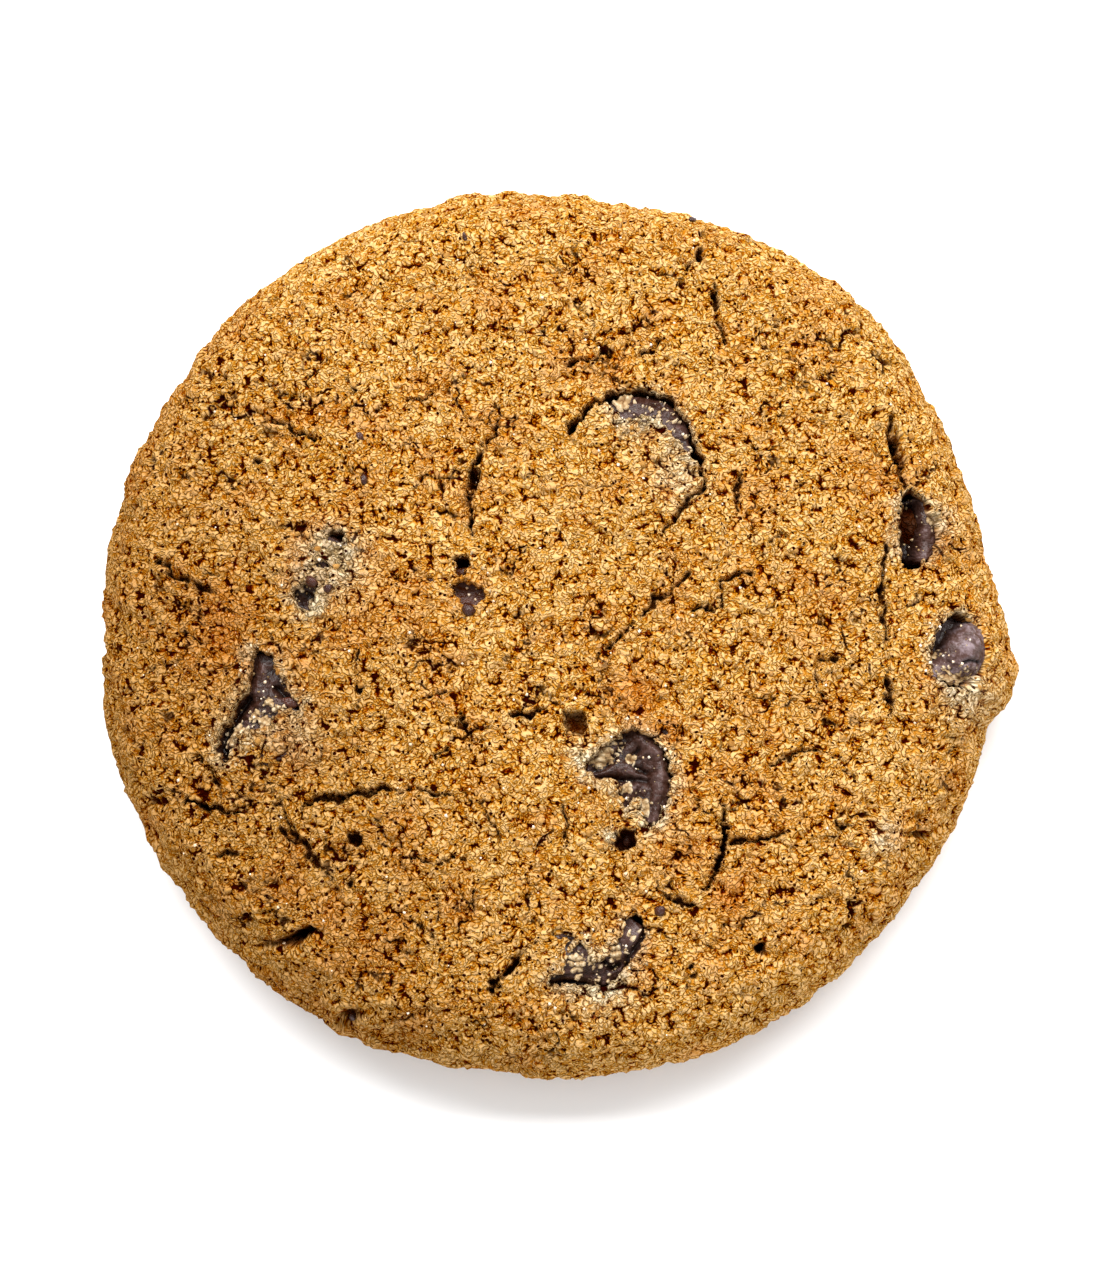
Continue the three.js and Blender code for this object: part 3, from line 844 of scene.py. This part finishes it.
def new_material(name, looks, *details):
    """A node material. looks takes its Graph and the details, and returns its shader's inputs."""
    material = bpy.data.materials.new(name)
    material.use_nodes = True
    material.node_tree.nodes.clear()
    graph = Graph(material.node_tree)
    surface = graph.put("ShaderNodeBsdfPrincipled", looks(graph, *details))
    out = graph.tree.nodes.new("ShaderNodeOutputMaterial")
    graph.tree.links.new(surface, out.inputs[0])
    return material


def crust_looks(graph):
    place = graph.kept("place", "Vector")
    ragged = graph.kept("ragged")
    blotch = graph.kept("blotch")
    browned = graph.kept("browned")
    depth = graph.kept("depth")

    # Golden grains, and greyed ones in the pale spots and round the chips. Each grain is darker towards
    # its edge, in the grooves and round each clump, as painted shade between them, and its tone also
    # differs at random.
    reach, tone = granules(graph, place)
    wave = graph.noise(place, WORM, 1.0, 0.5)
    groove = graph.step(graph.off(wave, 0.5), 0.0, 0.13, 1.0, 0.0, "LINEAR")
    fine = graph.noise(place, 0.2, 1.0, 0.7)
    level = graph.weighed(
        (graph.step(reach, 0.55, 0.8), -0.45),
        (groove, -0.6),
        (fine, 0.5),
        (tone, 0.34),
        (blotch, 0.22),
        (graph.step(graph.kept("clump"), 0.4, 0.72), -0.16),
        more=0.545,
    )
    shift = graph.times(graph.math("SUBTRACT", ragged, 0.5), 1.5)
    halo = graph.step(graph.add(graph.kept("bare"), shift, shift), -1.6, -0.3, 0.0, 0.58)
    spots = graph.times(graph.kept("paled"), graph.step(ragged, 0.3, 0.55, 0.5, 1.6))
    greyed = graph.add(halo, spots)
    base = graph.blend(greyed, graph.ramp(level, GOLDEN_CRUST), graph.ramp(level, GREYED_CRUST))

    # Browner patches, and light flecks that are painted glints.
    patch = graph.step(graph.kept("patch"), 0.45, 0.7, 0.0, 0.4)
    patches = graph.add(patch, graph.kept("scorched"))
    painted_glints = graph.step(fine, 0.64, 0.72, 0.0, 0.5)

    # Painted shade: near-black in the pinholes, the gaps between the granules and the thin seams between
    # the plates, with more pinholes towards the side that painted shade darkens.
    fewer = graph.add(graph.step(blotch, 0.4, 0.6, 0.015, 0.075), graph.times(browned, -0.04))
    pinhole = graph.step(graph.add(graph.cells(place, PINHOLE), fewer), 0.25, 0.19)
    gap = graph.step(graph.math("SUBTRACT", reach, fewer), 0.74, 0.8)
    beside = graph.off(graph.kept("plate"), 0.5)
    seam = graph.times(graph.step(beside, 0.026, 0.01), graph.kept("split"))
    seam = graph.times(seam, graph.step(ragged, 0.44, 0.52))
    painted_gap_shade = graph.math("MAXIMUM", graph.math("MAXIMUM", gap, pinhole), seam)
    painted_gap_shade = graph.times(painted_gap_shade, graph.step(graph.kept("edge"), 0.9, 0.3, 0.3, 1.0))

    # Painted shade on the rims and walls of cracks and openings, darker the deeper they are, and on the
    # bottoms of the deep ones.
    torn = graph.add(graph.kept("crack"), graph.times(shift, 0.5), -NARROWED)
    opened = graph.add(graph.kept("opening"), shift)
    broken = graph.step(graph.math("MAXIMUM", torn, opened), 0.0, 0.2)
    painted_rim_shade = graph.step(graph.add(depth, shift), 0.5, 1.3, 0.0, 0.75)
    painted_wall_shade = graph.times(broken, graph.step(depth, 0.4, 2.4, 0.5, 0.95))
    painted_bottom_shade = graph.step(depth, 1.8, 2.6, 0.0, 0.85)
    underside = graph.times(graph.kept("under"), 0.6)

    base = graph.blend(patches, base, colour(226, 168, 84), "MULTIPLY")
    # Painted shade: the crust is darker towards one side of the cookie.
    base = graph.blend(browned, base, colour(212, 204, 190), "MULTIPLY")
    for share, shade in (
        (painted_glints, (230, 182, 134)),
        (painted_gap_shade, (40, 4, 0)),
        (painted_rim_shade, (104, 48, 8)),
        (painted_wall_shade, (44, 6, 0)),
        (painted_bottom_shade, (50, 14, 0)),
        (underside, (150, 92, 40)),
    ):
        base = graph.blend(share, base, colour(*shade))

    height = graph.weighed((graph.times(reach, reach), -0.3), (groove, -0.25), (fine, 0.1), (broken, -0.3))
    return {
        "Base Color": base,
        "Normal": graph.bumps(height),
        "Roughness": 0.6,
        "Specular IOR Level": 0.0,
    }


def chocolate_looks(graph):
    rest = graph.kept("rest", "Vector")
    bloom = graph.noise(rest, 1.6, 4.0, 0.65)
    fine = graph.noise(rest, 0.35, 3.0, 0.6)
    # Paler with the chip's own bloom, and with a painted highlight along its ridges.
    pale = graph.add(graph.weighed((bloom, 1.2), (fine, 0.9)), graph.kept("bloomed"), -0.6)
    smooth = graph.blend(graph.kept("amber"), graph.ramp(pale, BLOOMED_CHOCOLATE), colour(70, 28, 0))
    # Painted shade: the creases are darkened almost to black.
    smooth = graph.blend(graph.times(graph.kept("creased"), 0.9), smooth, colour(18, 6, 2))
    grains = chip_grains(graph, rest)
    # The crumbs on a chip are darker towards their edges, painted shade between them.
    level = graph.weighed((grains, -0.9), (fine, 0.8), (bloom, 0.5), more=0.3)
    covered = graph.add(graph.kept("crumbed"), graph.times(grains, -0.9), graph.times(fine, 0.3))
    share = graph.step(covered, 0.15, 0.3)
    height = graph.weighed((bloom, 0.25), (fine, 0.16), (graph.times(grains, share), -0.3))
    return {
        "Base Color": graph.blend(share, smooth, graph.ramp(level, CRUMBS_ON_CHIP)),
        "Normal": graph.bumps(height, strength=0.8),
        "Roughness": graph.step(share, 0.0, 1.0, 0.25, 0.7),
        "Specular IOR Level": 0.2,
    }


def loose_looks(graph, stops, roughness, gloss):
    """For loose pieces: a colour for each from its tone, and a little unevenness on it."""
    fine = graph.noise(graph.kept("rest", "Vector"), 0.22, 2.0, 0.6)
    level = graph.weighed((graph.kept("tone"), 0.6), (fine, 0.8), more=-0.2)
    return {
        "Base Color": graph.ramp(level, stops),
        "Normal": graph.bumps(fine, distance=0.15 * MM),
        "Roughness": roughness,
        "Specular IOR Level": gloss,
    }


def floor_looks(graph):
    return {"Base Color": (0.95, 0.95, 0.95, 1), "Roughness": 0.9, "Specular IOR Level": 0.0}


# ---- Chocolate chips ----

# How each chip shows.
# fuller: how far its surface stands out beyond its CAD form.
# depths: how deep its top lies under the crust's form on its low side and on its high side, and the
# bearing of the high side.
# bloom: how pale it is. creased: how much it is creased all over, with painted shade darkening the
# creases. amber: how brown it is.
# crumbs: spots of crumbs on it, each with its x and y, its spread and its strength.
# lines: ridges on it, each with its points, its width and its height. Below 0 it is a crease, painted dark
# as shade; above 0 it is a ridge that gets a painted highlight.
PLAIN_CHIP = {"bloom": 0.0, "amber": 0.0, "crumbs": [], "lines": []}
CHIP_LOOKS = {
    "chip_domed": {
        "fuller": 0.5, "depths": (0.9, 0.9, 0), "creased": 0.2,
        "crumbs": [
            (7.4, 20, 1.04, 0.91), (10.6, 18.7, 0.91, 0.52), (11.7, 17.8, 0.7, 0.55),
            (12.3, 16.4, 0.7, 0.6), (9.6, 19.2, 0.6, 0.5), (13.2, 14.6, 1.17, 0.78),
        ],
        "lines": [([(9, 20.6), (11.2, 20), (12.6, 18.4), (13.4, 16.6), (13.8, 14.9)], 0.3, -0.4)],
    },
    "chip_in_crack": {
        "fuller": 0.5, "depths": (1.9, 0.9, 0), "creased": 0.2,
        "crumbs": [(35.9, 9.4, 0.91, 1.04), (35.6, 5.2, 0.78, 0.65)],
        "lines": [
            ([(35.2, 9.2), (35.2, 7.6), (34.8, 5.8), (34.4, 4.6)], 0.5, 0.3),
            ([(34, 11.2), (33.7, 8), (33.5, 4.4)], 0.7, -1),
        ],
    },
    "chip_at_edge": {
        "fuller": 0.4, "depths": (1.5, 0.1, 300), "bloom": 0.28, "creased": 0.3,
        "crumbs": [
            (38.2, -5.9, 1.3, 1), (36.9, -5.2, 0.8, 0.8), (39.9, -5.4, 0.7, 0.6), (37.2, -5.6, 1, 1),
            (39.2, -5.5, 0.9, 0.8), (36.2, -3.6, 0.7, 0.6), (40.8, -0.6, 0.6, 0.7),
        ],
        "lines": [
            ([(38.4, -4.2), (39, -4), (39.6, -4.1)], 0.14, -0.3),
            ([(36, -3.2), (36.8, -1.8), (38, -0.7), (38.8, 0.4), (40.2, 0.6)], 0.8, -1),
        ],
    },
    "chip_left": {
        "fuller": 0.5, "depths": (1.3, 0.5, 335), "bloom": -0.06, "creased": 0.5,
        "crumbs": [
            (-28, -11, 1.3, 1.3), (-26.6, -8.9, 0.65, 1.04), (-25.3, -7.8, 0.65, 0.91),
            (-25.6, -9.6, 0.91, 1.04), (-24.4, -8.4, 0.78, 0.65),
        ],
        "lines": [
            ([(-24.7, -6.5), (-23.6, -7.6), (-22.4, -8.3)], 0.3, -0.6),
            ([(-27.4, -7.4), (-28.8, -9.5), (-29.8, -11.7), (-29, -12.9)], 0.4, -0.8),
            ([(-26.3, -4.8), (-26.6, -6.8), (-26.4, -8)], 0.6, 0.3),
        ],
    },
    "chip_middle": {
        "fuller": 0.6, "depths": (1.2, 0.7, 340), "bloom": -0.04, "creased": 0.3,
        "crumbs": [
            (5.2, -13, 1.17, 1.17), (7.7, -13.2, 0.59, 1.04), (7.2, -16, 0.65, 0.91),
            (8.4, -17.6, 1.04, 1.3), (9.4, -19.4, 1.04, 1.04), (6.6, -12, 0.65, 0.65),
        ],
        "lines": [
            ([(8.6, -11.5), (10.2, -13), (10.6, -14.8), (10.2, -16.8), (9.7, -18.6)], 0.65, 0.6),
            ([(10, -14.9), (8.4, -15.5), (7.5, -16.8)], 0.35, 0.35),
            ([(9.2, -15.3), (7, -15.2), (4.2, -15)], 0.3, -0.6),
            ([(8.5, -12.4), (7.4, -13.4), (8.4, -14.2), (9.2, -14.6)], 0.25, -0.45),
            ([(6.9, -12.1), (6.1, -13.4), (4.9, -14.3)], 0.25, -0.4),
            ([(10.9, -12.2), (11.4, -13.6), (11.5, -14.8)], 0.3, -0.6),
        ],
    },
    "chip_low": {
        "fuller": 1.3, "depths": (1, 0.4, 110), "creased": 0.6,
        "crumbs": [
            (3, -31.4, 1.2, 0.8), (6.5, -30.6, 0.9, 0.9), (5.8, -33, 0.6, 0.6), (4.6, -31.2, 1.04, 0.78),
            (7.4, -29.6, 0.6, 0.5), (8.2, -28.4, 0.6, 0.6), (4.6, -33, 0.65, 0.65),
            (3, -32.6, 0.52, 0.65),
        ],
        "lines": [
            (
                [(0.3, -33.7), (1.8, -33.2), (3.6, -33.3), (4.2, -33.9), (5.6, -33.8), (6.5, -33.2)],
                0.28, -0.6,
            ),
            ([(7.4, -32.1), (7.5, -30.9), (8.2, -29.8), (9.2, -29.1)], 0.28, -0.6),
            ([(5.2, -31), (6, -31.9), (6.8, -31.6)], 0.25, -0.5),
            ([(7, -31.6), (7.8, -29.6), (8.7, -28.6)], 0.4, 0.3),
        ],
    },
    "chip_hidden": {
        "fuller": 0.3, "depths": (1.1, 0.5, 60), "creased": 1,
        "crumbs": [(-21, 1.6, 0.78, 0.91), (-22.6, 2.9, 0.65, 0.78), (-20.6, 2.8, 0.52, 0.65)],
    },
    "chip_small": {"fuller": 0, "depths": (1.2, 1.2, 0), "bloom": -0.3, "amber": 0.9, "creased": 0.2},
}


def chip_grains(graph, place):
    """How far the nearest crumb's middle is on a chip, in crumbs."""
    by = graph.noise(place, CHIP_CRUMB, 1.0, output="Color")
    return graph.cells(graph.shifted(place, 0.5, by), CHIP_CRUMB)


def chip_pattern(graph, place):
    bent = graph.shifted(place, 1.2, graph.noise(place, 2.0, 1.0, output="Color"))
    return {
        "lump": graph.noise(place, 3.2, 3.0, 0.6),
        "fold": graph.noise(bent, 1.6, 1.0),
        "grain": chip_grains(graph, place),
    }


def rounded_chip(name):
    """A smooth copy of a chip's CAD form."""
    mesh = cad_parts[name].data.copy()
    mesh.materials.clear()
    thing = new_object("chocolate_" + name, mesh)
    thing.modifiers.new("weld", "WELD").merge_threshold = 0.02 * MM
    rounder = thing.modifiers.new("rounder", "SUBSURF")
    rounder.levels = rounder.render_levels = 2
    evener = thing.modifiers.new("evener", "REMESH")
    evener.mode = "VOXEL"
    evener.voxel_size = CHIP_PITCH * MM
    smooth = bpy.data.meshes.new_from_object(thing.evaluated_get(bpy.context.evaluated_depsgraph_get()))
    thing.modifiers.clear()
    thing.data = smooth
    return thing


def build_chip(name, material):
    thing = rounded_chip(name)
    mesh = thing.data
    points = array_from(mesh.vertices, "co", 3) / MM
    normals = array_from(mesh.vertex_normals, "vector", 3)
    pattern = read_pattern(thing, chip_pattern)
    look = PLAIN_CHIP | CHIP_LOOKS[name]
    above = smooth_step(normals[:, 2], 0.1, 0.5)
    crumbed = spotted(look["crumbs"], points) * above
    covered = smooth_step(crumbed - 0.9 * pattern["grain"], 0, 0.15)
    fold = 1 - np.abs(2 * pattern["fold"] - 1)
    crease = look["creased"] * smooth_step(fold, 0.84, 1.0)
    ridge_highlight = np.zeros(len(points))
    line_height = np.zeros(len(points))
    for line, width, height in look["lines"]:
        near = np.exp(-((distance_to_line(points, line) / width) ** 2)) * above
        line_height += height * near
        if height > 0:
            ridge_highlight = np.maximum(ridge_highlight, near)
        else:
            crease = np.maximum(crease, near)
    crease *= 1 - covered
    relief = (
        1.2 * (pattern["lump"] - 0.5)
        + 0.4 * (fold - 0.7)
        - 0.3 * crease
        + covered * (0.3 - 0.3 * smooth_step(pattern["grain"], 0.2, 0.8))
    )
    moved = points + normals * look["fuller"]
    low_depth, high_depth, bearing = look["depths"]
    low, high = box_mm(name)
    across = (points - (low + high) / 2)[:, :2] / ((high - low)[:2].min() / 2)
    depth = low_depth + (high_depth - low_depth) * smooth_step(across @ toward(bearing), -0.8, 0.6)
    lid = MapFrame.read(crust.lid, moved)
    moved[:, 2] += np.maximum(lid - depth - moved[:, 2], -CHIP_LOWERED) * above
    moved[:, 2] += line_height
    set_points(mesh, moved + normals * relief[:, None])
    mesh.shade_smooth()
    # Paler on the ridges as a painted highlight, on top of the chip's own bloom.
    bloomed = look["bloom"] + 0.12 * ridge_highlight
    amber = np.full(len(points), look["amber"])
    store(mesh, rest=points, crumbed=crumbed, bloomed=bloomed, creased=crease, amber=amber)
    show_as(thing, "chocolate", material, replaces=name)
    return thing


# ---- Loose crumbs, sugar grains and chocolate specks ----


def landed(surface, flat, lowest=6.0):
    """The places on the surface straight below the flat ones, where it is higher than the lowest."""
    found = []
    for x, y in flat:
        hit = surface.ray_cast(Vector((x, y, 40)), Vector((0, 0, -1)))[0]
        if hit is not None and hit.z > lowest:
            found.append(hit)
    return np.array(found)


def turned_at_random(count):
    """A turn in space for each of count pieces, as matrices."""
    turns = rng.normal(size=(4, count))
    w, x, y, z = turns / np.linalg.norm(turns, axis=0)
    rows = [
        [1 - 2 * (y * y + z * z), 2 * (x * y - w * z), 2 * (x * z + w * y)],
        [2 * (x * y + w * z), 1 - 2 * (x * x + z * z), 2 * (y * z - w * x)],
        [2 * (x * z - w * y), 2 * (y * z + w * x), 1 - 2 * (x * x + y * y)],
    ]
    return np.moveaxis(np.array(rows), 2, 0)


def random_sizes(count, low, high):
    """Three uneven half widths for each of count lumps."""
    return rng.uniform(low, high, (count, 1)) * rng.uniform(0.6, 1.4, (count, 3))


def scatter(name, shape, places, sizes, slot, stops, uneven, roughness, gloss):
    """One mesh of many small lumps. sizes holds three half widths for each place."""
    points, faces = shape
    count = len(places)
    rough = 1 + uneven * rng.uniform(-1, 1, (count, len(points), 1))
    lumps = points[None] * rough * sizes[:, None, :]
    lumps = lumps @ turned_at_random(count).transpose(0, 2, 1) + places[:, None, :]
    numbers = faces[None] + np.arange(count)[:, None, None] * len(points)
    mesh = mesh_from(name, lumps.reshape(-1, 3), numbers.reshape(-1, faces.shape[1]))
    store(mesh, rest=lumps.reshape(-1, 3), tone=np.repeat(rng.random(count), len(points)))
    material = new_material(name, loose_looks, stops, roughness, gloss)
    show_as(new_object(name, mesh), slot, material)


def small_solid(make, **size):
    """A small solid's points and triangles, as arrays."""
    shape = bmesh.new()
    make(shape, **size)
    bmesh.ops.triangulate(shape, faces=shape.faces)
    points = np.array([v.co for v in shape.verts])
    faces = np.array([[v.index for v in f.verts] for f in shape.faces])
    shape.free()
    return points, faces


def on_disc(count, radius):
    """Places spread evenly over a disc round the cookie's middle."""
    turn = rng.uniform(0, 2 * np.pi, count)
    out = radius * np.sqrt(rng.random(count))
    return crust.middle + np.stack([out * np.cos(turn), out * np.sin(turn)], 1)


def near_chips(count, low, high):
    """Places beside and on the chips, from low to high millimetres inside their openings."""
    flat = on_disc(40 * count, radius=42)
    inside = MapFrame.read(crust.bare, flat)
    return flat[(inside > low) & (inside < high)][:count]


# Each speck: its x and y, and its three half widths.
SPECKS = [
    (-7.5, 36, 0.8, 0.25, 0.2), (-17.2, 17, 0.5, 0.35, 0.25), (-16.8, 13, 0.6, 0.4, 0.3),
    (-17.9, -36.6, 0.7, 0.5, 0.3), (-7, 0.6, 0.75, 0.7, 0.65), (-21.5, 3.2, 0.8, 0.6, 0.4),
    (-20, 2.6, 0.5, 0.4, 0.3), (-10.4, 3.5, 0.5, 0.4, 0.3), (13.9, 39, 0.6, 0.4, 0.3),
    (-23.6, -8, 1, 0.6, 0.4), (7.6, -20.6, 0.7, 0.6, 0.4), (10.5, -27.1, 0.6, 0.5, 0.3),
]


def build_loose(things):
    surface = surface_of(*things)
    ball = small_solid(bmesh.ops.create_icosphere, subdivisions=2, radius=1)
    block = small_solid(bmesh.ops.create_cube, size=2)

    flat = on_disc(CRUMB_COUNT, radius=41)
    crumbs = landed(surface, flat[MapFrame.read(crust.bare, flat) < 0])
    crumbs[:, 2] -= CRUMB_SUNK
    sizes = random_sizes(len(crumbs), 0.14, 0.28)
    scatter("crumbs", ball, crumbs, sizes, "crust", TAN, uneven=0.35, roughness=0.65, gloss=0.05)

    flat = np.concatenate([near_chips(PALE_COUNT, -1.4, 0.1), near_chips(PALE_ON_CHIPS, 0.1, 4)])
    beside = landed(surface, flat)
    sizes = random_sizes(len(beside), 0.05, 0.14)
    scatter("pale_crumbs", ball, beside, sizes, "crust", PALE, uneven=0.35, roughness=0.6, gloss=0.2)

    # White glossy grains, partly sugar and partly painted highlights that stand for glints, over the crust
    # and on and beside the chips.
    flat = np.concatenate([on_disc(SUGAR_COUNT, radius=40), near_chips(GLINT_GRAINS_ON_CHIPS, -1.5, 4)])
    sugar = landed(surface, flat)
    sizes = rng.uniform(0.05, 0.12, (len(sugar), 1)) * np.ones((1, 3))
    scatter("sugar_and_glint_grains", block, sugar, sizes, "crust", WHITE, uneven=0.1, roughness=0.2, gloss=0.5)

    given = np.array(SPECKS)
    specks = landed(surface, crust.middle + given[:, :2], lowest=-1.0)
    looks = {"uneven": 0.15, "roughness": 0.15, "gloss": 0.4}
    scatter("chocolate_specks", ball, specks, given[:, 2:], "chocolate", BROWN, **looks)


# ---- Floor, lights and camera ----


def build_stage():
    half = FLOOR_HALF
    corners = [(-half, -half, 0), (half, -half, 0), (half, half, 0), (-half, half, 0)]
    floor = new_object("floor", mesh_from("floor", corners, [(0, 1, 2, 3)]))
    floor.data.materials.append(new_material("pale_floor", floor_looks))
    floor.location.z = -0.02 * MM


def add_lamp(name, aim, bearing, rise, distance, size, power):
    """A soft lamp, placed by its bearing and rise seen from the cookie. Metres and watts."""
    data = bpy.data.lights.new(name, "AREA")
    data.shape = "RECTANGLE"
    data.size, data.size_y = size
    data.energy = power
    lamp = new_object(name, data)
    bearing, rise = math.radians(bearing), math.radians(rise)
    way = Vector((math.cos(bearing) * math.cos(rise), math.sin(bearing) * math.cos(rise), math.sin(rise)))
    lamp.location = aim + way * distance
    lamp.rotation_euler = (-way).to_track_quat("-Z", "Y").to_euler()


def light_scene(aim):
    add_lamp("key", aim, bearing=90, rise=50, distance=0.5, size=(0.9, 0.24), power=7.4)
    add_lamp("fill", aim, bearing=270, rise=20, distance=0.5, size=(0.9, 0.3), power=1.35)
    world = bpy.data.worlds.new("studio")
    bpy.context.scene.world = world
    world.use_nodes = True
    background = world.node_tree.nodes["Background"]
    background.inputs["Color"].default_value = (1, 1, 1, 1)
    background.inputs["Strength"].default_value = 0.7
    bpy.context.scene.view_settings.view_transform = "Standard"


VIEW_RISE = 82.0  # degrees above the horizon
VIEW_TURN = 14.0  # degrees round from straight in front
LENS = 85.0
SENSOR = 36.0
VIEW_HEIGHT = 119.66  # millimetres seen from the picture's top to its bottom
VIEW_SHIFT = (0.93, -1.67)  # the cookie's middle lies left of and above the picture's, in millimetres
AIM_HEIGHT = 8.0


def add_camera():
    aim = Vector((*crust.middle, AIM_HEIGHT)) * MM
    data = bpy.data.cameras.new("camera")
    data.lens = LENS
    data.sensor_width = SENSOR
    data.clip_start, data.clip_end = 0.01, 10.0
    camera = new_object("camera", data)
    rise, turn = math.radians(VIEW_RISE), math.radians(VIEW_TURN)
    back = Vector((math.sin(turn) * math.cos(rise), -math.cos(turn) * math.cos(rise), math.sin(rise)))
    forward = -back
    right = forward.cross(Vector((0, 1, 0))).normalized()
    up = right.cross(forward)
    distance = VIEW_HEIGHT * MM * LENS / SENSOR
    camera.matrix_world = Matrix((right, up, back)).transposed().to_4x4()
    camera.location = aim + back * distance + right * VIEW_SHIFT[0] * MM + up * VIEW_SHIFT[1] * MM
    bpy.context.scene.camera = camera
    return aim


dough = build_dough()
chocolate = new_material("chocolate", chocolate_looks)
build_loose([dough, *(build_chip(name, chocolate) for name in CHIPS)])
build_stage()
light_scene(add_camera())
